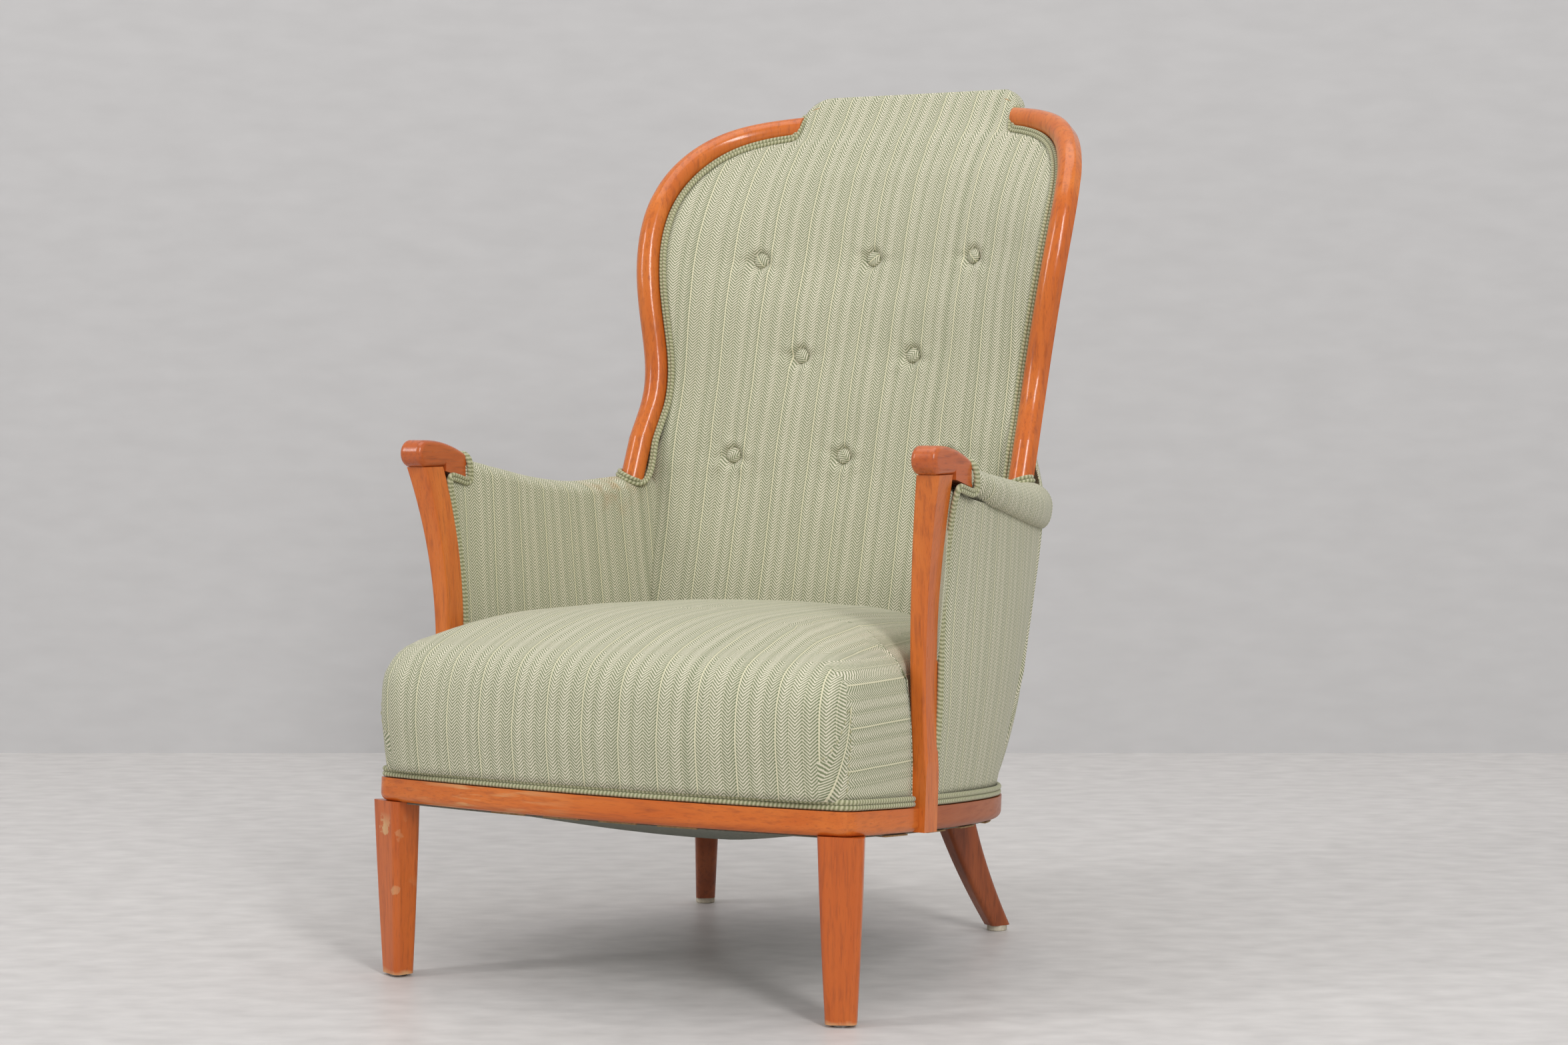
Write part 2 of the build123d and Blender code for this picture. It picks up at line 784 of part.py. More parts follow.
with BuildPart() as crest_board:
    add(back_sheet(cloth + clearance, crest_board_thickness))
    with BuildSketch(Plane.XZ) as board_outline:
        with Locations((0, board_top - crest_board_height / 2)):
            Rectangle(2 * (crest_half - clearance), crest_board_height)
        fillet(board_outline.vertices().sort_by(Axis.Y)[-2:], radius=crest_round - crest_padding)
    extrude(amount=overall_depth, both=True, mode=Mode.INTERSECT)
save(crest_board, "crest_board")

with BuildPart() as back_buttons:
    for point in button_points:
        with BuildSketch(Plane(origin=point + tuft_axis * button_seat, z_dir=tuft_axis)):
            Circle(button_radius)
    extrude(amount=button_height)
    for button in back_buttons.solids():
        fillet(button.faces().sort_by(Axis(button.center(), tuft_axis))[-1].edges(), radius=button_round)
save(back_buttons, "back_buttons")


def in_opening(sheet, margin, low_half, low):
    """Sheet of the back cut to the opening of the frame."""
    with BuildPart() as piece:
        add(sheet)
        with BuildSketch(Plane.XZ):
            add(back_outline(margin, low_half, low))
        extrude(amount=overall_depth, both=True, mode=Mode.INTERSECT)
    return piece


def in_window(sheet, middles, width, low, high):
    """Sheet of the back cut to strips of a width between two heights."""
    with BuildPart() as piece:
        add(sheet)
        with BuildSketch(Plane.XZ):
            for middle in middles:
                with Locations((middle, (low + high) / 2)):
                    Rectangle(width, high - low)
        extrude(amount=overall_depth, both=True, mode=Mode.INTERSECT)
    return piece


with BuildPart() as rail_space:
    with BuildSketch(frame_plane):
        add(tub_outline(ledge - clearance))
    extrude(amount=rail_height + clearance)

with BuildPart() as stile_space:
    with BuildSketch(frame_section(0)):
        with Locations((0, (stile_shadow - frame_crown) / 2)):
            Rectangle(frame_width + 2 * clearance, stile_shadow + frame_crown + 2 * clearance)
    extrude(amount=-stile_way.length)

# The roll of each arm ends against the outside back
roll_fall = (arm_rings[0]["under"] - arm_rings[3]["under"]) / (arm_rings[3]["depth"] - arm_rings[0]["depth"])
roll_end = arm_rings[-1]
arm_end_top = arm_end_depth + arm_end_rake * (outer_rings[2]["height"] - arm_end_height)
with BuildPart() as roll_space:
    with BuildSketch(Plane.YZ.offset(back_pad_half)):
        with BuildLine():
            roll_rise = roll_fall * (roll_end["depth"] - flank_depth)
            Polyline(
                (front_y + flank_depth, roll_end["under"] + roll_rise - cloth),
                (front_y + roll_end["depth"], roll_end["under"] - cloth),
                (front_y + arm_end_top, outer_rings[2]["height"]),
                (front_y + flank_depth, outer_rings[2]["height"]),
                close=True,
            )
        make_face()
    extrude(amount=outer_back_half)

with BuildPart() as outer_back:
    add(in_opening(back_sheet(0, cloth), outer_back_margin, outer_back_half, outer_back_low).part)
    add(rail_space.part, mode=Mode.SUBTRACT)
    add(roll_space.part, mode=Mode.SUBTRACT)
    add(mirror(roll_space.part, about=Plane.YZ, mode=Mode.PRIVATE), mode=Mode.SUBTRACT)
save(outer_back, "outer_back")

# Behind the padding: hessian on webbing strips, and a curved rail across the stiles
board_low = board_top - crest_board_height - clearance
hessian_inset = padding_reach - hessian - clearance
strip_inset = hessian_inset - strip_thickness - clearance
with BuildPart() as back_hessian:
    add(in_opening(back_sheet(hessian_inset, hessian), pad_margin, back_pad_half, back_pad_low).part)
    split(bisect_by=level(board_low), keep=Keep.BOTTOM)
save(back_hessian, "back_hessian")

tack_rail_top = back_pad_low + tack_rail_height
strip_sheet = back_sheet(strip_inset, strip_thickness)
save(in_window(strip_sheet, back_strip_middles, strip_width, tack_rail_top, board_low), "back_webbing")
rail_sheet = back_sheet(cloth + clearance, strip_inset - cloth - clearance)
save(
    in_window(rail_sheet, (0,), 2 * outer_back_half, back_pad_low, tack_rail_top - clearance),
    "back_tack_rail",
)


# Back frame trim: a flat double cord along the inside of the frame
with BuildPart() as back_piping:
    shares = [piping_start]
    shares += [shoulder_share * step / section_steps for step in range(1, section_steps)]
    arch_share = 1 - shoulder_share
    shares += [shoulder_share + arch_share * step / section_steps for step in range(section_steps + 1)]
    for share in shares:
        section = frame_section(share)
        centre = section.origin - section.x_dir * (frame_width / 2 + back_piping_gap + back_piping_width / 2)
        with BuildSketch(Plane(origin=centre, x_dir=section.x_dir, z_dir=section.z_dir)):
            RectangleRounded(back_piping_width, back_piping_depth, back_piping_round)
    loft()
    split(bisect_by=Plane.YZ.offset(crest_half + clearance), keep=Keep.TOP)
save_pair(back_piping, "back_piping")


# Seat cushion: a crowned form, its cloth and the padding over the spring well
def seat_form(inset):
    """Seat cushion with its bulging sides and crown, drawn in all round by an inset."""
    with BuildPart() as form:
        with BuildSketch(frame_plane.offset(lip_height + piping_height + 2 * clearance)):
            add(seat_outline(*[seat_base[way] + inset for way in ("front", "side", "back")]))
        for ring in seat_rings:
            with BuildSketch(level(ring["height"] - inset)):
                add(seat_outline(*[ring[way] + inset for way in ("front", "side", "back")]))
        loft()
    return form.part


# Behind the posts the seat keeps clear of the arms
with BuildPart() as beside_seat:
    with BuildSketch(level(rail_lift)):
        with BuildLine():
            ThreePointArc(
                (seat_inner_half, post_depth), (seat_flank_half, seat_flank_depth),
                (seat_rear_half, seat_rear_depth),
            )
            Polyline(
                (seat_rear_half, seat_rear_depth), (seat_rear_half, tub_depth), (overall_depth, tub_depth),
                (overall_depth, post_depth), (seat_inner_half, post_depth),
            )
        make_face()
    extrude(amount=crest_height / 2)
    add(post_form(2 * clearance, 2 * clearance))


def seat_blank(inset):
    """Seat cushion fitted between the posts and the arms."""
    with BuildPart() as blank:
        add(seat_form(inset))
        add(beside_seat.part, mode=Mode.SUBTRACT)
        mirrored = mirror(beside_seat.part, about=Plane.YZ, mode=Mode.PRIVATE)
        add(mirrored, mode=Mode.SUBTRACT)
    return blank.part


well_depth = (spring_depths[0] + spring_depths[-1]) / 2
hessian_height = spring_height + clearance
with BuildPart() as seat_cover:
    add(seat_blank(0))
    add(seat_form(cloth), mode=Mode.SUBTRACT)
    add(rail_space.part, mode=Mode.SUBTRACT)
save(seat_cover, "seat_cover")

with BuildPart() as seat_padding:
    add(seat_blank(cloth + clearance))
    split(bisect_by=frame_plane.offset(rail_height + clearance), keep=Keep.TOP)
    with BuildSketch(frame_plane):
        with Locations((0, well_depth)):
            Rectangle(well_width, well_length)
    extrude(amount=hessian_height + hessian + clearance, mode=Mode.SUBTRACT)
save(seat_padding, "seat_padding")

with BuildPart() as spring_hessian:
    with BuildSketch(frame_plane.offset(hessian_height)):
        with Locations((0, well_depth)):
            Rectangle(well_width - 2 * clearance, well_length - 2 * clearance)
    extrude(amount=hessian)
save(spring_hessian, "spring_hessian")

# Webbing under the rails, and a coil spring on each crossing of the middle strips
with BuildPart() as seat_webbing:
    with BuildSketch(frame_plane.offset(-clearance)):
        for half in strip_halves:
            with Locations((half, tub_depth / 2), (-half, tub_depth / 2)):
                Rectangle(strip_width, tub_depth)
        add(tub_outline(dust_inset / 2), mode=Mode.INTERSECT)
    extrude(amount=-strip_thickness)
    with BuildSketch(frame_plane.offset(-2 * clearance - strip_thickness)):
        for depth in strip_depths:
            with Locations((0, depth)):
                Rectangle(2 * widest_half, strip_width)
        add(tub_outline(dust_inset / 2), mode=Mode.INTERSECT)
    extrude(amount=-strip_thickness)
save(seat_webbing, "seat_webbing")

with BuildPart() as seat_springs:
    for depth in spring_depths:
        for half in strip_halves:
            for hand in (1, -1):
                foot = frame_plane.from_local_coords((hand * half, depth, spring_wire))
                with BuildLine():
                    coil = Helix(
                        spring_pitch, spring_height - 2 * spring_wire, spring_radius,
                        center=foot, direction=frame_plane.z_dir,
                    )
                with BuildSketch(Plane(origin=coil @ 0, z_dir=coil % 0)):
                    Circle(spring_wire)
                sweep(path=coil)
save(seat_springs, "seat_springs")

# Dust cover under the webbing, sagging in the middle and cut round the legs
dust_drop = 2 * strip_thickness + 3 * clearance


def dust_pan(lift):
    """Solid over the sagging dust cover, raised by a lift."""
    with BuildPart() as pan:
        with BuildSketch(frame_plane.offset(lift - dust_drop)):
            add(tub_outline(dust_inset))
        with BuildSketch(frame_plane.offset(lift - dust_drop - sag)):
            add(tub_outline(sag_inset))
        loft()
    return pan.part


with BuildPart() as dust_cover:
    add(dust_pan(0))
    add(dust_pan(hessian), mode=Mode.SUBTRACT)
    rear_half, rear_depth = rear_leg_centre(rear_leg_crossing)
    with BuildSketch(frame_plane):
        for hand in (1, -1):
            with Locations((hand * front_leg_half, front_leg_depth), (hand * rear_half, rear_depth)):
                Circle(leg_cutout)
    extrude(amount=-rail_lift / 2, mode=Mode.SUBTRACT)
save(dust_cover, "dust_cover")

# Double cord round the seat frame: the front run between the posts, and the run round sides and back
with BuildPart() as frame_cord:
    with BuildSketch(frame_plane.offset(lip_height + clearance)):
        add(tub_outline(piping_inset))
        add(tub_outline(piping_inset + piping_band), mode=Mode.SUBTRACT)
    extrude(amount=piping_height)
    with BuildSketch(frame_plane.offset(lip_height + clearance + (piping_height - piping_groove) / 2)):
        add(tub_outline(0))
        add(tub_outline(piping_inset + piping_groove), mode=Mode.SUBTRACT)
    extrude(amount=piping_groove, mode=Mode.SUBTRACT)

post_cross = Plane(origin=frame_plane.from_local_coords((0, post_depth, 0)), z_dir=frame_plane.y_dir)
for name, side in (("seat_piping", Keep.BOTTOM), ("base_piping", Keep.TOP)):
    with BuildPart() as cord:
        add(frame_cord.part)
        split(bisect_by=post_cross, keep=side)
        with BuildSketch(frame_plane):
            with Locations((post_half, post_depth), (-post_half, post_depth)):
                Rectangle(2 * post_foot[0], post_foot[1] + 2 * clearance)
        extrude(amount=rail_height, mode=Mode.SUBTRACT)
    save(cord, name)


# Arms: padding with an outward roll, its cloth, the rail under the roll and the outside panel
def arm_form(inset, spare):
    """Arm padding drawn in by an inset on its cloth side, and reaching out by a spare behind it."""
    with BuildPart() as form:
        for ring in arm_rings:
            low = (ring["low"] + inset, arm_low - spare)
            inner = (ring["inner"] + inset, ring["top"] - arm_shoulder)
            top = ((ring["inner"] + ring["roll"]) / 2, ring["top"] - inset)
            roll = (ring["roll"] - inset, (ring["top"] + ring["under"]) / 2)
            under = (ring["roll"] - roll_overhang, ring["under"] + inset)
            slab = (ring["inner"] + arm_slab + spare, ring["under"] + inset)
            foot = (ring["low"] + arm_slab_foot + spare, arm_low - spare)
            with BuildSketch(Plane.XZ.offset(-front_y - ring["depth"])):
                with BuildLine():
                    Line(low, inner)
                    ThreePointArc(inner, quarter_point(inner, top), top)
                    ThreePointArc(top, quarter_point(roll, top), roll)
                    ThreePointArc(roll, quarter_point(roll, under), under)
                    Polyline(under, slab, foot, low)
                make_face()
        loft()
    return form.part


def quarter_point(side, end):
    """Middle of a rounded corner that leaves its side point upright and meets its end point level."""
    return (
        end[0] + (side[0] - end[0]) * sqrt(0.5),
        side[1] + (end[1] - side[1]) * sqrt(0.5),
    )


with BuildPart() as arm_space:
    add(post_form(post_shadow, 2 * clearance))
    with BuildSketch(cap_plane):
        with BuildLine():
            cap_end = cap_length + clearance
            cap_low = cap_lip_height - clearance
            Polyline(
                (-cap_length, cap_low), (cap_end, cap_low),
                (cap_end, crest_height), (-cap_length, crest_height), close=True,
            )
        make_face()
    extrude(amount=2 * cap_width, both=True)
    add(stile_space.part)

arm_end = Plane(
    origin=at(0, arm_end_depth, arm_end_height),
    z_dir=(0, cos(atan(arm_end_rake)), -sin(atan(arm_end_rake))),
)


def fitted_arm(form):
    """Arm piece cut to fit the post, the cap, the stile and the inside back."""
    with BuildPart() as piece:
        add(form)
        split(bisect_by=arm_end, keep=Keep.BOTTOM)
        add(arm_space.part, mode=Mode.SUBTRACT)
    return piece.part


with BuildPart() as arm_padding:
    add(fitted_arm(arm_form(cloth + clearance, 0)))
save_pair(arm_padding, "arm_padding")

with BuildPart() as arm_cover:
    add(fitted_arm(arm_form(0, 0)))
    add(arm_form(cloth, cloth), mode=Mode.SUBTRACT)
save_pair(arm_cover, "arm_cover")

with BuildPart() as arm_rail:
    for ring in arm_rings[:-1]:
        inner = ring["inner"] + arm_slab + clearance
        outer = ring["roll"] - roll_overhang - cloth - arm_rail_taper
        with BuildSketch(Plane.XZ.offset(-front_y - ring["depth"])):
            with Locations(((inner + outer) / 2, ring["under"] - clearance - arm_rail_height / 2)):
                Rectangle(outer - inner, arm_rail_height)
    loft()
    add(arm_space.part, mode=Mode.SUBTRACT)
save_pair(arm_rail, "arm_rail")

with BuildPart() as outer_arm:
    first = arm_rings[0]
    roll_plane = Plane(
        origin=at(0, first["depth"], first["under"] - cloth), x_dir=(1, 0, 0),
        z_dir=(0, sin(atan(roll_fall)), cos(atan(roll_fall))),
    )
    panel_front = post_depth + post_foot[1] / 2
    face = piping_inset + piping_band + clearance
    foot_end = panel_seam_depth - 2 * clearance
    foot_depths = (panel_front, (panel_front + foot_end) / 2, foot_end)
    foot_curve = [(tub_half(depth, face), depth) for depth in foot_depths]
    stretch = 1 / cos(atan(roll_fall))
    head_curve = [
        (ring["roll"] - roll_overhang, (ring["depth"] - first["depth"]) * stretch)
        for ring in (arm_rings[0], arm_rings[2])
    ]
    head_curve.append((panel_end_half, (panel_end_depth - first["depth"]) * stretch))
    panels = (
        (frame_plane.offset(lip_height + piping_height + 2 * clearance), foot_curve),
        (roll_plane, head_curve),
    )
    for plane, curve in panels:
        with BuildSketch(plane):
            with BuildLine():
                outer = Spline(*curve)
                inner = Spline(*[(half - cloth, depth) for half, depth in curve])
                Line(outer @ 0, inner @ 0)
                Line(outer @ 1, inner @ 1)
            make_face()
    loft()
    add(arm_space.part, mode=Mode.SUBTRACT)
    add(rail_space.part, mode=Mode.SUBTRACT)
save_pair(outer_arm, "outer_arm")
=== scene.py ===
"""High-backed upholstered armchair with a polished wood frame, dressed in striped cloth.

Every size is in metres, in the chair's own frame: +Z up, the seat facing -Y, the floor at z = 0.
"""

from __future__ import annotations

import json
import logging
import math
from dataclasses import dataclass, field
from enum import Enum
from typing import Callable, Sequence

import bmesh
import bpy
import numpy as np
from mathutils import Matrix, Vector

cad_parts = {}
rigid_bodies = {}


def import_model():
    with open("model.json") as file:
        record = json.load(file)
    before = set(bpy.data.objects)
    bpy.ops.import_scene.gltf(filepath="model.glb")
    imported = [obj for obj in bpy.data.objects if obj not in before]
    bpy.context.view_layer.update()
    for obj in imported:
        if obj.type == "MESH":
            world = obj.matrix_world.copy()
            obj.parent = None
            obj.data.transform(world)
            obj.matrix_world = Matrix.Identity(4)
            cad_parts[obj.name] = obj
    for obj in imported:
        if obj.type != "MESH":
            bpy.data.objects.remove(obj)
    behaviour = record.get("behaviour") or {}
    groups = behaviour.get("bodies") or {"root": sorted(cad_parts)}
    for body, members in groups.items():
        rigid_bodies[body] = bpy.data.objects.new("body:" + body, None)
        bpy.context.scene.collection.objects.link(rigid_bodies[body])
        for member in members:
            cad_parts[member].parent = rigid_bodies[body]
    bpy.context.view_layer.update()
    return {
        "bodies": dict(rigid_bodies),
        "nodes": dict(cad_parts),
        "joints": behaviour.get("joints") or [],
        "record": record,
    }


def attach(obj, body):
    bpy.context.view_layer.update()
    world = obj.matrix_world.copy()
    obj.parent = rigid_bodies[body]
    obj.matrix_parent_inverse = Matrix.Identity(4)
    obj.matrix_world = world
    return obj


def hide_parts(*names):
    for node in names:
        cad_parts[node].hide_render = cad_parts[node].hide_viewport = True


LOG = logging.getLogger("armchair")
FRONT_Y = -0.4175
Row = list[Vector]
UvRow = list[tuple[float, float]]


class Hand(Enum):
    """Side of the chair as seen from the front."""

    RIGHT = 1
    LEFT = -1

    @property
    def side(self) -> str:
        """Word for this side in the names of pieces."""
        return self.name.lower()


class Slot(Enum):
    """Finishes that the record names."""

    CLOTH = "striped_cloth"
    PIPING = "piping"
    DUST = "dust_cloth"


def spot(half: float, depth: float, height: float) -> Vector:
    """Point of the chair.

    Args:
        half: Distance to the right of the middle, in millimetres.
        depth: Distance back from the seat's front, in millimetres.
        height: Height over the floor, in millimetres.

    Returns:
        The point in metres.
    """
    return Vector((half / 1000, FRONT_Y + depth / 1000, height / 1000))


def spline(stations: Sequence[Sequence[float]], place: float) -> list[float]:
    """Smooth value between numbered stations.

    Args:
        stations: Rows of numbers, one row per station.
        place: Station number, with a fraction between two stations.

    Returns:
        The row of numbers at that place.
    """
    last = len(stations) - 1
    index = min(max(int(math.floor(place)), 0), last - 1)
    t = place - index
    rows = [stations[min(max(index + k, 0), last)] for k in (-1, 0, 1, 2)]
    result = []
    for a, b, c, d in zip(*rows):
        slope_b, slope_c = (c - a) / 2, (d - b) / 2
        if index == 0:
            slope_b = c - b
        if index == last - 1:
            slope_c = c - b
        result.append(
            (2 * t**3 - 3 * t**2 + 1) * b
            + (t**3 - 2 * t**2 + t) * slope_b
            + (3 * t**2 - 2 * t**3) * c
            + (t**3 - t**2) * slope_c
        )
    return result


def along(stations: Sequence[Sequence[float]], value: float) -> list[float]:
    """Smooth row at a value of the stations' first, rising column.

    Args:
        stations: Rows of numbers whose first column rises.
        value: Value of the first column.

    Returns:
        The row without its first column.
    """
    last = len(stations) - 1
    index = 0
    while index < last - 1 and stations[index + 1][0] < value:
        index += 1
    low, high = stations[index][0], stations[index + 1][0]
    share = min(max((value - low) / (high - low), 0), 1)
    return spline([row[1:] for row in stations], index + share)


def path(stations: Sequence[Vector], steps: int) -> Row:
    """Smooth line of points through stations.

    Args:
        stations: Points that the line passes through.
        steps: Points for each stretch between two stations.

    Returns:
        The points of the line.
    """
    rows = [tuple(point) for point in stations]
    total = (len(rows) - 1) * steps
    return [Vector(spline(rows, k / steps)) for k in range(total + 1)]


def lengths(row: Row, closed: bool) -> list[float]:
    """Distance along a row to each of its points, with the closing stretch if it is closed."""
    points = row + [row[0]] if closed else row
    total = [0.0]
    for a, b in zip(points, points[1:]):
        total.append(total[-1] + (b - a).length)
    return total


def at_length(row: Row, marks: Sequence[float], goal: float) -> Vector:
    """Point of a row at a distance along it.

    Args:
        row: Points of the row.
        marks: Distance along the row to each point.
        goal: The distance.

    Returns:
        The point.
    """
    index = max(i for i, mark in enumerate(marks[:-1]) if mark <= goal + 1e-9)
    share = (goal - marks[index]) / max(1e-9, marks[index + 1] - marks[index])
    return row[index].lerp(row[index + 1], share)


def heading(line: Row, k: int) -> Vector:
    """Way that a line takes at one of its points."""
    return line[min(k + 1, len(line) - 1)] - line[max(k - 1, 0)]


def mirrored(row: Row) -> Row:
    """Row on the other side of the chair."""
    return [Vector((-p.x, p.y, p.z)) for p in row]


class Graph:
    """Node tree with short calls for adding and joining nodes."""

    def __init__(self, tree: bpy.types.NodeTree) -> None:
        """Keep the tree and empty it."""
        self.tree = tree
        tree.nodes.clear()

    def add(self, kind: str, *, settings: dict | None = None, **inputs: object) -> bpy.types.Node:
        """Add one node.

        Args:
            kind: Blender's name of the node type.
            settings: Attributes of the node itself.
            inputs: Values or sockets by input name, with underscores for spaces.

        Returns:
            The new node.
        """
        node = self.tree.nodes.new(kind)
        for name, value in (settings or {}).items():
            setattr(node, name, value)
        for name, value in inputs.items():
            key: int | str = int(name[1:]) if name[0] == "i" and name[1:].isdigit() else name.replace("_", " ")
            self.feed(node.inputs[key], value)
        return node

    def feed(self, socket: bpy.types.NodeSocket, value: object) -> None:
        """Join a socket to an input, or set its value."""
        if isinstance(value, bpy.types.NodeSocket):
            self.tree.links.new(value, socket)
        else:
            socket.default_value = value

    def math(self, operation: str, *values: object) -> bpy.types.NodeSocket:
        """Result of a math node.

        Args:
            operation: Name of the operation.
            values: Its numbers or sockets.

        Returns:
            The output socket.
        """
        node = self.tree.nodes.new("ShaderNodeMath")
        node.operation = operation
        for index, value in enumerate(values):
            self.feed(node.inputs[index], value)
        return node.outputs[0]

    def mix(self, share: object, first: object, second: object, blend: str = "MIX") -> bpy.types.NodeSocket:
        """Mix of two colours.

        Args:
            share: Share of the second colour.
            first: First colour or socket.
            second: Second colour or socket.
            blend: Blend type.

        Returns:
            The mixed colour's socket.
        """
        node = self.tree.nodes.new("ShaderNodeMix")
        node.data_type = "RGBA"
        node.blend_type = blend
        self.feed(node.inputs[0], share)
        self.feed(node.inputs[6], first)
        self.feed(node.inputs[7], second)
        return node.outputs[2]

    def ramp(self, share: object, stops: Sequence[tuple[float, tuple]], mode: str = "LINEAR") -> bpy.types.NodeSocket:
        """Colour of a ramp.

        Args:
            share: Place on the ramp.
            stops: Places and colours.
            mode: Interpolation.

        Returns:
            The colour's socket.
        """
        node = self.tree.nodes.new("ShaderNodeValToRGB")
        node.color_ramp.interpolation = mode
        band = node.color_ramp.elements
        while len(band) < len(stops):
            band.new(1.0)
        for element, (place, colour) in zip(band, stops):
            element.position = place
            element.color = (*colour, 1.0) if len(colour) == 3 else colour
        self.feed(node.inputs[0], share)
        return node.outputs[0]

    def fit(self, value: object, low: float, high: float, to_low: float, to_high: float) -> bpy.types.NodeSocket:
        """Value mapped from one range to another and held inside it."""
        node = self.tree.nodes.new("ShaderNodeMapRange")
        node.clamp = True
        for index, item in enumerate((value, low, high, to_low, to_high)):
            self.feed(node.inputs[index], item)
        return node.outputs[0]


def new_group(name: str, ins: dict[str, tuple], outs: dict[str, str]) -> tuple[Graph, bpy.types.Node, bpy.types.Node]:
    """Start a shader node group.

    Args:
        name: The group's name.
        ins: Input names with their socket type and default.
        outs: Output names with their socket type.

    Returns:
        The graph with the group's input and output nodes.
    """
    tree = bpy.data.node_groups.new(name, "ShaderNodeTree")
    for label, (kind, default) in ins.items():
        socket = tree.interface.new_socket(name=label, in_out="INPUT", socket_type=kind)
        if default is not None:
            socket.default_value = default
    for label, kind in outs.items():
        tree.interface.new_socket(name=label, in_out="OUTPUT", socket_type=kind)
    graph = Graph(tree)
    return graph, graph.add("NodeGroupInput"), graph.add("NodeGroupOutput")


def linear(red: int, green: int, blue: int) -> tuple[float, float, float, float]:
    """Scene colour of a colour as it is written for a screen."""

    def one(value: int) -> float:
        """Scene value of one channel."""
        share = value / 255
        return share / 12.92 if share <= 0.04045 else ((share + 0.055) / 1.055) ** 2.4

    return one(red), one(green), one(blue), 1.0


def blank(name: str) -> tuple[bpy.types.Material, Graph]:
    """New material with an empty node tree."""
    material = bpy.data.materials.new(name)
    material.use_nodes = True
    return material, Graph(material.node_tree)


def dress(nodes: dict[str, bpy.types.Object], chosen: Sequence[tuple[str, bpy.types.Material]]) -> None:
    """Give CAD pieces their finishes by the first words of their names.

    Args:
        nodes: The CAD pieces by name.
        chosen: First words of names, each with its material.
    """
    for name, node in nodes.items():
        for start, material in chosen:
            if name.startswith(start):
                node.data.materials.clear()
                node.data.materials.append(material)


@dataclass(frozen=True)
class Stain:
    """Old mark on the cloth."""

    centre: Vector
    radius: float
    colour: tuple


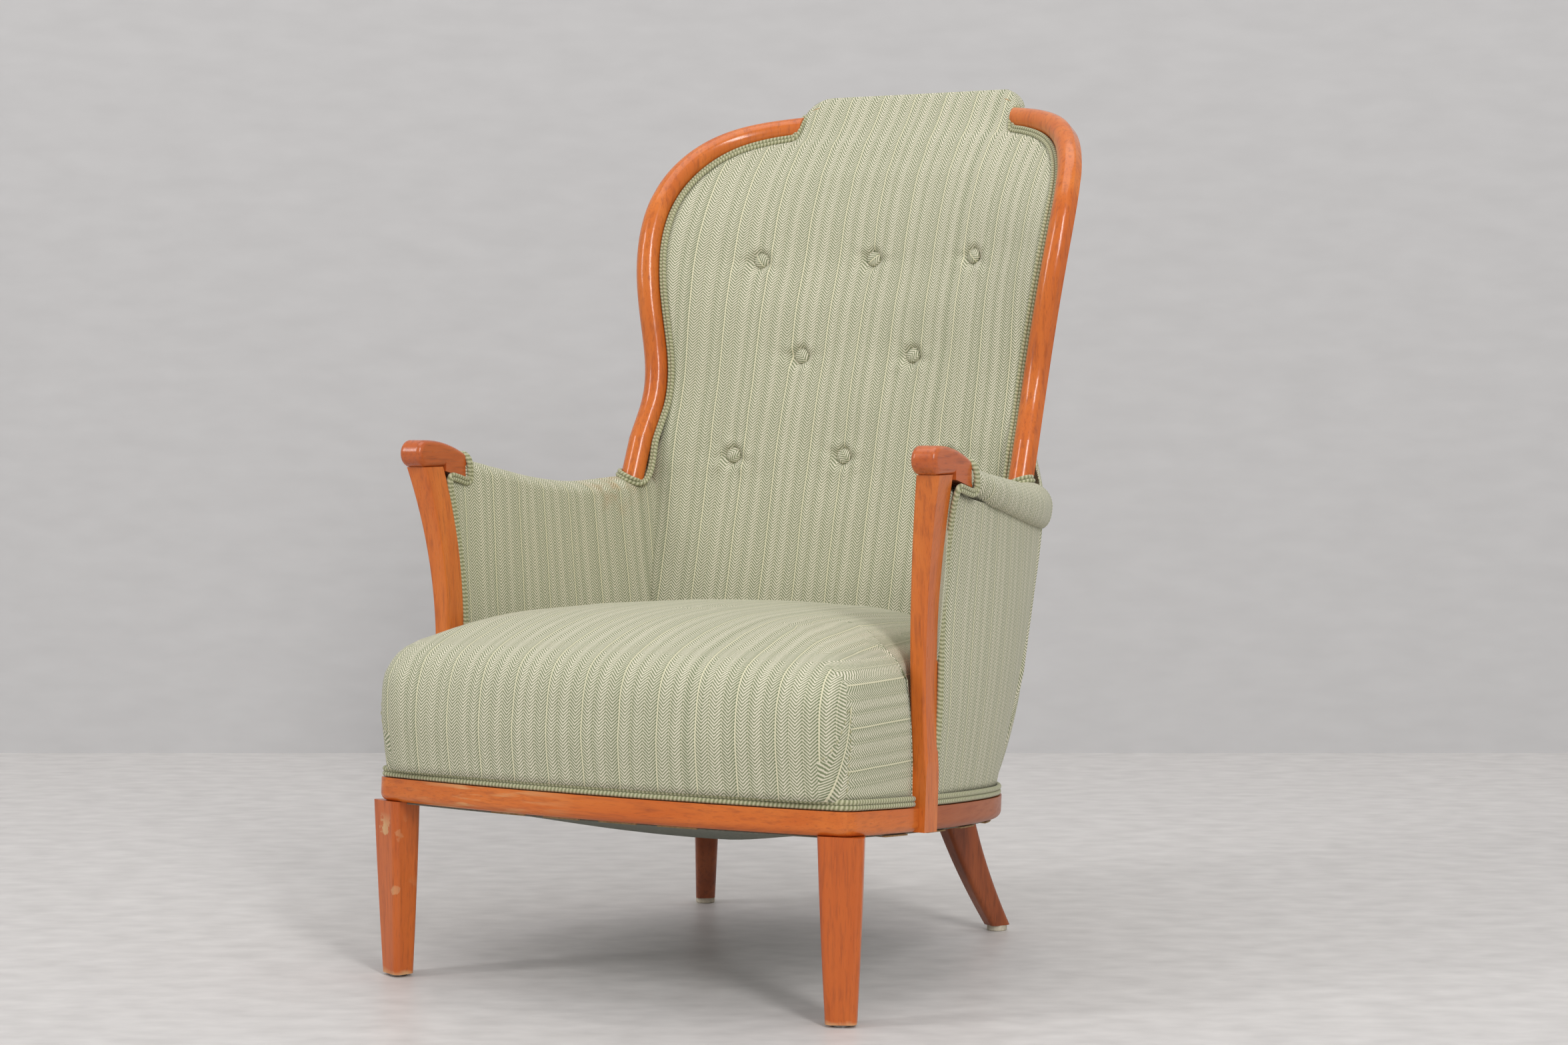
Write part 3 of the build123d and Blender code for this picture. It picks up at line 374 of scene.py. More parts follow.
@dataclass(frozen=True)
class StripedCloth:
    """Herringbone upholstery cloth in sage and cream, striped along its length."""

    repeat: float = 0.0445
    column: float = 0.0074
    twill: float = 0.0036
    cream: tuple = linear(228, 220, 198)
    pale_sage: tuple = linear(194, 190, 164)
    sage: tuple = linear(138, 142, 112)
    deep_sage: tuple = linear(106, 117, 84)
    pin: tuple = linear(222, 215, 182)
    stripes: tuple = (
        (0.0, (1.0, 0.2, 0.0)), (0.028, (1.0, 0.2, 0.0)), (0.04, (0.0, 1.0, 0.0)), (0.065, (0.0, 0.5, 0.0)),
        (0.2, (0.0, 0.15, 0.0)), (0.29, (0.0, 0.3, 0.0)), (0.325, (0.0, 0.85, 0.0)), (0.34, (0.4, 0.3, 0.0)),
        (0.355, (0.0, 0.7, 0.0)), (0.45, (0.0, 0.3, 0.0)), (0.6, (0.0, 0.05, 0.0)), (0.66, (0.0, 0.75, 0.0)),
        (0.675, (0.3, 0.3, 0.0)), (0.69, (0.0, 0.7, 0.0)), (0.82, (0.0, 0.4, 0.0)), (0.96, (0.0, 0.6, 0.0)),
        (0.985, (0.0, 1.0, 0.0)),
    )

    def group(self) -> bpy.types.NodeTree:
        """Build the weave once as a node group."""
        if "striped_weave" in bpy.data.node_groups:
            return bpy.data.node_groups["striped_weave"]
        ins = {"UV": ("NodeSocketVector", None)}
        outs = {"Color": "NodeSocketColor", "Height": "NodeSocketFloat"}
        g, source, result = new_group("striped_weave", ins, outs)
        uv = source.outputs["UV"]
        drift = g.add("ShaderNodeTexNoise", Vector=uv, Scale=7.0, Detail=2.0).outputs[0]
        cut = g.add("ShaderNodeSeparateXYZ", Vector=uv)
        across = g.math("ADD", cut.outputs[0], g.math("MULTIPLY", g.math("SUBTRACT", drift, 0.5), 0.005))
        place = g.math("FRACT", g.math("DIVIDE", across, self.repeat))
        bands = g.add("ShaderNodeSeparateColor", Color=g.ramp(place, self.stripes))
        lone = g.add(
            "ShaderNodeTexNoise", settings={"noise_dimensions": "1D"},
            W=g.math("MULTIPLY", across, 110.0), Scale=1.0, Detail=1.0,
        ).outputs[0]
        zigzag = g.math("PINGPONG", across, self.column)
        turn = g.math("MULTIPLY", g.math("DIVIDE", g.math("ADD", cut.outputs[1], zigzag), self.twill), 2 * math.pi)
        twill = g.math("MULTIPLY_ADD", g.math("SINE", turn), 0.5, 0.5)
        fleck = g.add("ShaderNodeTexNoise", Vector=uv, Scale=560.0, Detail=1.0).outputs[0]
        thread = g.math("MULTIPLY_ADD", g.math("SUBTRACT", fleck, 0.5), 1.1, twill)
        green = g.math("ADD", bands.outputs[1], g.math("MULTIPLY", g.math("SUBTRACT", lone, 0.5), 0.8))
        under = g.mix(g.fit(green, 0.1, 1.0, 0.0, 1.0), self.sage, self.deep_sage)
        over = g.mix(g.fit(green, 0.1, 1.0, 0.0, 1.0), self.cream, self.pale_sage)
        woven = g.mix(g.fit(thread, 0.3, 0.7, 0.0, 1.0), under, over)
        lined = g.mix(g.math("MULTIPLY", bands.outputs[0], 0.8), woven, self.pin)
        patch = g.add("ShaderNodeTexNoise", Vector=uv, Scale=4.0, Detail=3.0).outputs[0]
        g.feed(result.inputs["Color"], g.mix(g.fit(patch, 0.4, 0.75, 0.0, 0.15), lined, self.sage))
        g.feed(result.inputs["Height"], g.math("ADD", thread, g.math("MULTIPLY", bands.outputs[0], 0.8)))
        return g.tree

    def material(self, name: str, stain: Stain | None = None) -> bpy.types.Material:
        """Cloth material for pieces with a cloth UV map.

        Args:
            name: The material's name.
            stain: Old mark on this piece, if it has one.

        Returns:
            The material.
        """
        cloth, g = blank(name)
        where = g.add("ShaderNodeUVMap", settings={"uv_map": "cloth"})
        weave = g.add("ShaderNodeGroup", settings={"node_tree": self.group()}, UV=where.outputs[0])
        colour = weave.outputs["Color"]
        if stain:
            place = g.add("ShaderNodeTexCoord").outputs["Object"]
            away = g.add("ShaderNodeVectorMath", settings={"operation": "DISTANCE"}, i0=place, i1=stain.centre)
            streaks = g.add("ShaderNodeTexNoise", Vector=place, Scale=60.0, Detail=3.0).outputs[0]
            near = g.fit(away.outputs["Value"], 0.0, stain.radius, 1.0, 0.0)
            colour = g.mix(g.math("MULTIPLY", near, g.fit(streaks, 0.4, 0.7, 0.0, 0.8)), colour, stain.colour)
        bump = g.add("ShaderNodeBump", Strength=0.4, Distance=0.0006, Height=weave.outputs["Height"])
        shader = g.add(
            "ShaderNodeBsdfPrincipled", Base_Color=colour, Normal=bump.outputs[0],
            Roughness=0.92, Sheen_Weight=0.12, Sheen_Roughness=0.5, Specular_IOR_Level=0.2,
        )
        g.add("ShaderNodeOutputMaterial", Surface=shader.outputs[0])
        return cloth


@dataclass(frozen=True)
class CordFinish:
    """Twisted trim cord in green with cream flecks."""

    twist: float = 0.0046
    green: tuple = linear(160, 159, 124)
    fleck: tuple = linear(206, 201, 168)
    dark: tuple = linear(124, 126, 90)

    def material(self) -> bpy.types.Material:
        """Material of the twisted cord, along the cord's own UV map."""
        cord, g = blank("trim_cord")
        where = g.add("ShaderNodeUVMap", settings={"uv_map": "cloth"})
        cut = g.add("ShaderNodeSeparateXYZ", Vector=where.outputs[0])
        lay = g.math("ADD", g.math("DIVIDE", cut.outputs[1], self.twist), cut.outputs[0])
        strand = g.math("MULTIPLY_ADD", g.math("SINE", g.math("MULTIPLY", lay, 2 * math.pi)), 0.5, 0.5)
        noise = g.add("ShaderNodeTexNoise", Vector=where.outputs[0], Scale=300.0, Detail=1.0).outputs[0]
        pale = g.fit(g.math("ADD", strand, g.math("SUBTRACT", noise, 0.5)), 0.55, 1.0, 0.0, 0.7)
        base = g.mix(g.fit(strand, 0.0, 0.35, 1.0, 0.0), self.green, self.dark)
        bump = g.add("ShaderNodeBump", Strength=0.4, Distance=0.001, Height=strand)
        shader = g.add(
            "ShaderNodeBsdfPrincipled", Base_Color=g.mix(pale, base, self.fleck), Normal=bump.outputs[0],
            Roughness=0.85, Sheen_Weight=0.2, Specular_IOR_Level=0.25,
        )
        g.add("ShaderNodeOutputMaterial", Surface=shader.outputs[0])
        return cord


@dataclass(frozen=True)
class Lacquer:
    """Glossy lacquered wood with grain along one axis."""

    name: str
    light: tuple
    middle: tuple
    dark: tuple
    grain: tuple[float, float, float]
    gloss: float = 0.24

    @staticmethod
    def group() -> bpy.types.NodeTree:
        """Build the figured grain once as a node group."""
        if "figured_wood" in bpy.data.node_groups:
            return bpy.data.node_groups["figured_wood"]
        ins = {
            "Vector": ("NodeSocketVector", None),
            "Light": ("NodeSocketColor", (0.5, 0.3, 0.1, 1)),
            "Middle": ("NodeSocketColor", (0.4, 0.2, 0.08, 1)),
            "Dark": ("NodeSocketColor", (0.2, 0.1, 0.05, 1)),
        }
        outs = {"Color": "NodeSocketColor", "Height": "NodeSocketFloat", "Roughness": "NodeSocketFloat"}
        g, source, result = new_group("figured_wood", ins, outs)
        vector = source.outputs["Vector"]
        broad = g.add("ShaderNodeTexNoise", Vector=vector, Scale=1.0, Detail=4.0, Distortion=0.4).outputs[0]
        fine = g.add("ShaderNodeTexNoise", Vector=vector, Scale=7.0, Detail=3.0, Roughness=0.6).outputs[0]
        pores = g.add("ShaderNodeTexNoise", Vector=vector, Scale=22.0, Detail=1.0).outputs[0]
        body = g.mix(g.fit(broad, 0.3, 0.7, 0.0, 1.0), source.outputs["Middle"], source.outputs["Light"])
        streak = g.mix(g.fit(fine, 0.5, 0.78, 0.0, 0.6), body, source.outputs["Dark"])
        flecked = g.mix(g.fit(pores, 0.6, 0.75, 0.0, 0.35), streak, source.outputs["Dark"])
        g.feed(result.inputs["Color"], flecked)
        g.feed(result.inputs["Height"], g.math("ADD", fine, g.math("MULTIPLY", pores, -0.6)))
        g.feed(result.inputs["Roughness"], g.fit(fine, 0.2, 0.8, 0.0, 0.12))
        return g.tree

    def material(self, wear_and_shade: Callable[[Graph, bpy.types.NodeSocket], list] | None = None) -> bpy.types.Material:
        """Lacquer material.

        Args:
            wear_and_shade: Adds pairs of mask and colour over the lacquer: real wear, and painted shade.

        Returns:
            The material.
        """
        wood, g = blank(self.name)
        where = g.add("ShaderNodeTexCoord")
        stretch = g.add("ShaderNodeMapping", Vector=where.outputs["Object"], Scale=self.grain)
        grain = g.add(
            "ShaderNodeGroup", settings={"node_tree": self.group()}, Vector=stretch.outputs[0],
            Light=self.light, Middle=self.middle, Dark=self.dark,
        )
        colour = grain.outputs["Color"]
        rough = g.math("ADD", grain.outputs["Roughness"], self.gloss)
        # Masks of real wear and of painted shade, each mixed over the grain and made rougher.
        for mask, tint in wear_and_shade(g, where.outputs["Object"]) if wear_and_shade else []:
            colour = g.mix(mask, colour, tint)
            rough = g.math("MULTIPLY_ADD", mask, 0.35, rough)
        bump = g.add("ShaderNodeBump", Strength=0.08, Distance=0.0004, Height=grain.outputs["Height"])
        shader = g.add(
            "ShaderNodeBsdfPrincipled", Base_Color=colour, Roughness=rough, Normal=bump.outputs[0],
            Coat_Weight=0.25, Coat_Roughness=0.1, Specular_IOR_Level=0.35,
        )
        g.add("ShaderNodeOutputMaterial", Surface=shader.outputs[0])
        return wood


@dataclass(frozen=True)
class PlainFinish:
    """Quiet finish with a fine mottle for hidden and small pieces."""

    name: str
    colour: tuple
    shade: tuple
    scale: float
    roughness: float
    metallic: float = 0.0
    stretch: tuple[float, float, float] = (1.0, 1.0, 1.0)
    turn: float = 0.0
    one_sided: bool = False

    def material(self) -> bpy.types.Material:
        """Mottled material in the finish's two colours."""
        plain, g = blank(self.name)
        where = g.add("ShaderNodeTexCoord")
        drawn = g.add(
            "ShaderNodeMapping", settings={"vector_type": "TEXTURE"}, Vector=where.outputs["Object"],
            Rotation=(0.0, 0.0, self.turn), Scale=self.stretch,
        )
        noise = g.add("ShaderNodeTexNoise", Vector=drawn.outputs[0], Scale=self.scale, Detail=4.0).outputs[0]
        mottle = g.mix(g.fit(noise, 0.3, 0.7, 0.0, 1.0), self.colour, self.shade)
        bump = g.add("ShaderNodeBump", Strength=0.2, Distance=0.0005, Height=noise)
        shader = g.add(
            "ShaderNodeBsdfPrincipled", Base_Color=mottle, Normal=bump.outputs[0],
            Roughness=self.roughness, Metallic=self.metallic,
        )
        surface = shader.outputs[0]
        if self.one_sided:
            behind = g.add("ShaderNodeNewGeometry").outputs["Backfacing"]
            clear = g.add("ShaderNodeBsdfTransparent").outputs[0]
            surface = g.add("ShaderNodeMixShader", i0=behind, i1=surface, i2=clear).outputs[0]
        g.add("ShaderNodeOutputMaterial", Surface=surface)
        return plain


@dataclass
class Skin:
    """Surface drawn through rows of points by extruding one row into the next."""

    rows: list[Row]
    cloth: list[UvRow]
    closed: bool = False
    gathered: bool = False
    recut: Callable[[Vector], Callable[[Vector], tuple[float, float]] | None] | None = None

    def mesh(self, name: str) -> bpy.types.Mesh:
        """Extrude the rows into a mesh with a cloth UV map.

        Args:
            name: The mesh's name.

        Returns:
            The mesh.
        """
        work = bmesh.new()
        column = work.verts.layers.int.new("column")
        level = work.verts.layers.int.new("level")
        line = [work.verts.new(point) for point in self.rows[0]]
        count = len(line)
        for index, vert in enumerate(line):
            vert[column] = index
        pairs = [(k, (k + 1) % count) for k in range(count if self.closed else count - 1)]
        edges = [work.edges.new((line[a], line[b])) for a, b in pairs]
        for number, row in enumerate(self.rows[1:], start=1):
            grown = bmesh.ops.extrude_edge_only(work, edges=edges)["geom"]
            fresh = {item for item in grown if isinstance(item, bmesh.types.BMVert)}
            following = []
            for vert in line:
                following.append(next(e.other_vert(vert) for e in vert.link_edges if e.other_vert(vert) in fresh))
            for index, vert in enumerate(following):
                vert.co, vert[column], vert[level] = row[index], index, number
            line = following
            edges = [work.edges.get((line[a], line[b])) for a, b in pairs]
        self.lay_cloth(work, column, level, count)
        if self.gathered:
            middle = sum((vert.co for vert in line), Vector()) / count
            bmesh.ops.pointmerge(work, verts=line, merge_co=middle)
        bmesh.ops.recalc_face_normals(work, faces=work.faces)
        return written(work, name)

    def lay_cloth(self, work: bmesh.types.BMesh, column: object, level: object, count: int) -> None:
        """Write the cloth's UV map, with the last column of a closed row past its first."""
        chart = work.loops.layers.uv.new("cloth")
        for face in work.faces:
            face.smooth = True
            places = [loop.vert[column] for loop in face.loops]
            wraps = self.closed and max(places) - min(places) > 1
            panel = self.recut(face.calc_center_median()) if self.recut else None
            for loop, place in zip(face.loops, places):
                if panel:
                    loop[chart].uv = panel(loop.vert.co)
                    continue
                if wraps and place == 0:
                    place = count
                loop[chart].uv = self.cloth[loop.vert[level]][place]


def written(work: bmesh.types.BMesh, name: str) -> bpy.types.Mesh:
    """Write a finished bmesh to a new mesh and let it go."""
    mesh = bpy.data.meshes.new(name)
    work.to_mesh(mesh)
    work.free()
    return mesh


def put(name: str, mesh: bpy.types.Mesh, material: bpy.types.Material, slot: Slot) -> bpy.types.Object:
    """Place a finished mesh on the chair.

    Args:
        name: Name of the piece.
        mesh: Its mesh, already in place.
        material: Its material.
        slot: The record's finish; not used.

    Returns:
        The piece.
    """
    piece = bpy.data.objects.new(name, mesh)
    bpy.context.scene.collection.objects.link(piece)
    mesh.materials.append(material)
    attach(piece, "root")
    LOG.info("%s: %d faces", name, len(mesh.polygons))
    return piece


def cap_end(mesh: bpy.types.Mesh) -> None:
    """Close the open ends of a skin."""
    work = bmesh.new()
    work.from_mesh(mesh)
    rims = [edge for edge in work.edges if edge.is_boundary]
    bmesh.ops.holes_fill(work, edges=rims)
    bmesh.ops.recalc_face_normals(work, faces=work.faces)
    work.to_mesh(mesh)
    work.free()


@dataclass(frozen=True)
class Settling:
    """Short cloth simulation that lets stuffed cloth find its own tension."""

    pressure: float = 4.0
    frames: int = 20
    stiffness: float = 12.0
    vertex_mass: float = 0.15
    evening: int = 40

    def settle(self, piece: bpy.types.Object, held: Callable[[Vector], float], reach: float) -> None:
        """Swell the cloth between the places that hold it.

        Args:
            piece: The stuffed piece.
            held: How firmly a point is held, from 0 to 1.
            reach: Furthest that a point may move, in metres.
        """
        scene = bpy.context.scene
        start = [vert.co.copy() for vert in piece.data.vertices]
        grip = piece.vertex_groups.new(name="held")
        for index, place in enumerate(start):
            grip.add([index], held(place), "REPLACE")
        cloth = piece.modifiers.new("settling", "CLOTH")
        rules = cloth.settings
        rules.mass = self.vertex_mass
        rules.tension_stiffness = rules.compression_stiffness = self.stiffness
        rules.use_pressure = True
        rules.uniform_pressure_force = self.pressure
        rules.vertex_group_mass = grip.name
        rules.effector_weights.gravity = 0.0
        cloth.point_cache.frame_end = self.frames
        for frame in range(1, self.frames + 1):
            scene.frame_set(frame)
        view = piece.evaluated_get(bpy.context.evaluated_depsgraph_get())
        moved = [vert.co.copy() for vert in view.data.vertices]
        piece.modifiers.remove(cloth)
        piece.vertex_groups.remove(grip)
        scene.frame_set(1)
        shifts = self.evened(piece, np.array(moved) - np.array(start))
        far = np.linalg.norm(shifts, axis=1, keepdims=True)
        shifts *= reach / np.maximum(far, reach)
        for vert, first, shift in zip(piece.data.vertices, start, shifts):
            vert.co = first + Vector(shift)
        piece.data.update()
        LOG.info("%s settled by up to %.1f mm", piece.name, far.max() * 1000)

    def evened(self, piece: bpy.types.Object, shifts: np.ndarray) -> np.ndarray:
        """Shifts of the points, evened out between neighbours so that no sharp fold stays."""
        ends = np.array([edge.vertices[:] for edge in piece.data.edges])
        count = np.bincount(ends.ravel(), minlength=len(shifts))[:, None]
        still = np.linalg.norm(shifts, axis=1) < 1e-7
        for _ in range(self.evening):
            near = np.zeros_like(shifts)
            np.add.at(near, ends[:, 0], shifts[ends[:, 1]])
            np.add.at(near, ends[:, 1], shifts[ends[:, 0]])
            shifts = (shifts + near / np.maximum(count, 1)) / 2
            shifts[still] = 0.0
        return shifts


@dataclass
class SeatCushion:
    """Sprung seat with a crown, a bulging front and sewn front corners."""

    corner_half: float = 291
    post_half: float = 305
    rear_half: float = 224
    flank_half: float = 288
    corner_depth: float = 58
    rear_depth: float = 494
    back_depth: float = 530
    bow: float = 34
    rings: tuple = (
        (236.5, 8.5, 1, 22), (268, 4, 0.5, 6), (300, 1, 0, 0), (340, 5, 2, -5), (368, 27, 9, -9), (388, 92, 52, 2),
        (397, 140, 96, 40),
    )
    crown: tuple = ((0.12, 399), (0.27, 400.9), (0.44, 402.3), (0.62, 403.2), (0.8, 403.7), (0.93, 403.8))
    samples: int = 8
    post_front: float = 172
    clear: tuple = ((172, 305), (180, 291), (206, 290), (300, 278.5), (380, 263), (494, 223), (540, 205))
    base_tilt: float = math.tan(math.radians(4.6))
    reach: float = 0.004
    dart_top: tuple[float, float] = (-0.360, 0.333)
    dart_spread: tuple[float, float] = (0.430, 0.021)
    stitch: tuple[float, float] = (0.0006, 0.0024)
    rows: list[Row] = field(default_factory=list)

    def outline(self, front: float, side: float, back: float) -> list[tuple[float, float]]:
        """Plan of the seat drawn in at its front, sides and back, in millimetres."""
        half, rear = self.post_half - side, self.rear_depth - back
        right = [(share * half, front + self.bow * share * share) for share in (0.3, 0.6, 0.85)]
        right += [
            (self.corner_half - side, self.corner_depth + front),
            (half, max(self.post_front, self.corner_depth + front + 40)),
            (half - 1, max(181, self.corner_depth + front + 49)),
            (self.flank_half - side, (190 + rear) / 2),
            (self.rear_half - side, rear - 26),
            (self.rear_half - side - 26, rear),
        ]
        loop = [(0, front), *right, (0, self.back_depth - back), *[(-x, y) for x, y in reversed(right)]]
        points = []
        size = len(loop)
        for index in range(size):
            a, b, c, d = (loop[(index + k) % size] for k in (-1, 0, 1, 2))
            for step in range(self.samples):
                t = step / self.samples
                points.append(tuple(spline((a, b, c, d), 1 + t)))
        return points

    def room(self, half: float, depth: float) -> float:
        """Half width held clear of the posts and the arms."""
        if depth < self.post_front:
            return half
        limit = along(self.clear, depth)[0]
        return math.copysign(min(abs(half), limit), half)

    def build(self, cloth: bpy.types.Material) -> bpy.types.Object:
        """Draw the seat ring by ring from its base to the crown.

        Args:
            cloth: The cloth's material.

        Returns:
            The seat cushion.
        """
        rows, chart = [], []
        steps = 4
        total = (len(self.rings) - 1) * steps
        drop = 0.0
        previous: Row | None = None
        drops = []
        for number in range(total + 1):
            height, front, side, back = spline(self.rings, number / steps)
            lean = max(0.0, 1 - number / (2 * steps))
            row = []
            for half, depth in self.outline(front, side, back):
                row.append(spot(self.room(half, depth), depth, height - lean * self.base_tilt * depth))
            rows.append(row)
            if previous is not None:
                drop += (row[0] - previous[0]).length
            drops.append(drop)
            previous = row
        last = rows[-1]
        middle = sum(last, Vector()) / len(last)
        for share, height in self.crown:
            rows.append([Vector((*point.lerp(middle, share).xy, height / 1000)) for point in last])
            drops.append(drop)
        for row, low in zip(rows, drops):
            fall = max(0.0, drops[4 * steps + 2] - low)
            chart.append([(p.x, -0.37 - fall if fall > 0 else p.y) for p in row + [row[0]]])
        mesh = Skin(rows, chart, closed=True, gathered=True, recut=self.panel).mesh("seat_cushion")
        cap_end(mesh)
        self.ease(mesh)
        piece = put("seat_cushion", mesh, cloth, Slot.CLOTH)
        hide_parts("seat_cover", "seat_padding")
        Settling().settle(piece, self.held, self.reach)
        self.rows = rows
        return piece

    @staticmethod
    def ease(mesh: bpy.types.Mesh) -> None:
        """Smooth the shoulders of the seat beside the posts."""
        work = bmesh.new()
        work.from_mesh(mesh)
        chosen = [v for v in work.verts if v.co.z > 0.35 and abs(v.co.x) > 0.17 and -0.33 < v.co.y < -0.08]
        for _ in range(14):
            bmesh.ops.smooth_vert(
                work, verts=chosen, factor=0.5, use_axis_x=True, use_axis_y=True, use_axis_z=True
            )
        work.to_mesh(mesh)
        work.free()

    def dart(self, height: float) -> tuple[float, float]:
        """Places of the two seams of a corner dart at a height."""
        low = max(0.0, self.dart_top[1] - height)
        return self.dart_top[0] - self.dart_spread[0] * low, self.dart_top[0] - self.dart_spread[1] * low

    def panel(self, centre: Vector) -> Callable[[Vector], tuple[float, float]] | None:
        """Cloth of the side panels and of the corner darts."""
        if abs(centre.x) < 0.262 - 0.2 * max(0.0, centre.z - 0.345):
            return None
        front, side = self.dart(centre.z)
        if centre.y > side and (centre.z < 0.372 or centre.y > -0.25):
            return lambda p: (p.z + 0.004, p.y)
        if front < centre.y <= side and centre.z < self.dart_top[1]:
            return lambda p: (0.3 + p.y * 0.9 - p.z * 0.2, p.z)
        return None

    def held(self, place: Vector) -> float:
        """Grip of the rails, of the corner darts and of the inside arms on the seat."""
        corner = abs(place.x) > 0.25 and place.y < -0.34 and place.z < 0.345
        return 1.0 if place.z < 0.262 or corner or place.y > 0.05 else 0.0

    def sew(self, thread: bpy.types.Material) -> bpy.types.Object:
        """Sew both darts down with visible stitches.

        Args:
            thread: The thread's material.

        Returns:
            All the stitches as one piece.
        """
        work = bmesh.new()
        size = len(self.rows[0])
        for row, above in zip(self.rows[1:], self.rows[2:]):
            for seam in (0, 1):
                for sign in (1, -1):
                    spots = []
                    for line in (row, above):
                        goal = self.dart(line[size // 4].z)[seam]
                        for k in range(size):
                            a, b = line[k], line[(k + 1) % size]
                            corner = sign * a.x > 0.262 and a.z < self.dart_top[1] and a.y < -0.3
                            if corner and (a.y - goal) * (b.y - goal) <= 0 and a.y != b.y:
                                spots.append(a.lerp(b, (goal - a.y) / (b.y - a.y)))
                                break
                    if len(spots) == 2:
                        self.one_stitch(work, spots[0], spots[1])
        for face in work.faces:
            face.smooth = True
        return put("seat_stitches", written(work, "seat_stitches"), thread, Slot.PIPING)

    def one_stitch(self, work: bmesh.types.BMesh, low: Vector, high: Vector) -> None:
        """Lay one stitch of thread between two points of a seam."""
        radius, half = self.stitch
        way = (high - low).normalized()
        made = bmesh.ops.create_uvsphere(work, u_segments=8, v_segments=6, radius=1.0)["verts"]
        bmesh.ops.scale(work, verts=made, vec=(radius, radius, half))
        turn = Vector((0, 0, 1)).rotation_difference(way).to_matrix()
        bmesh.ops.rotate(work, verts=made, matrix=turn, cent=(0, 0, 0))
        outward = Vector((math.copysign(0.7, low.x), -0.7, 0)) * radius
        bmesh.ops.translate(work, verts=made, vec=(low + high) / 2 + outward)


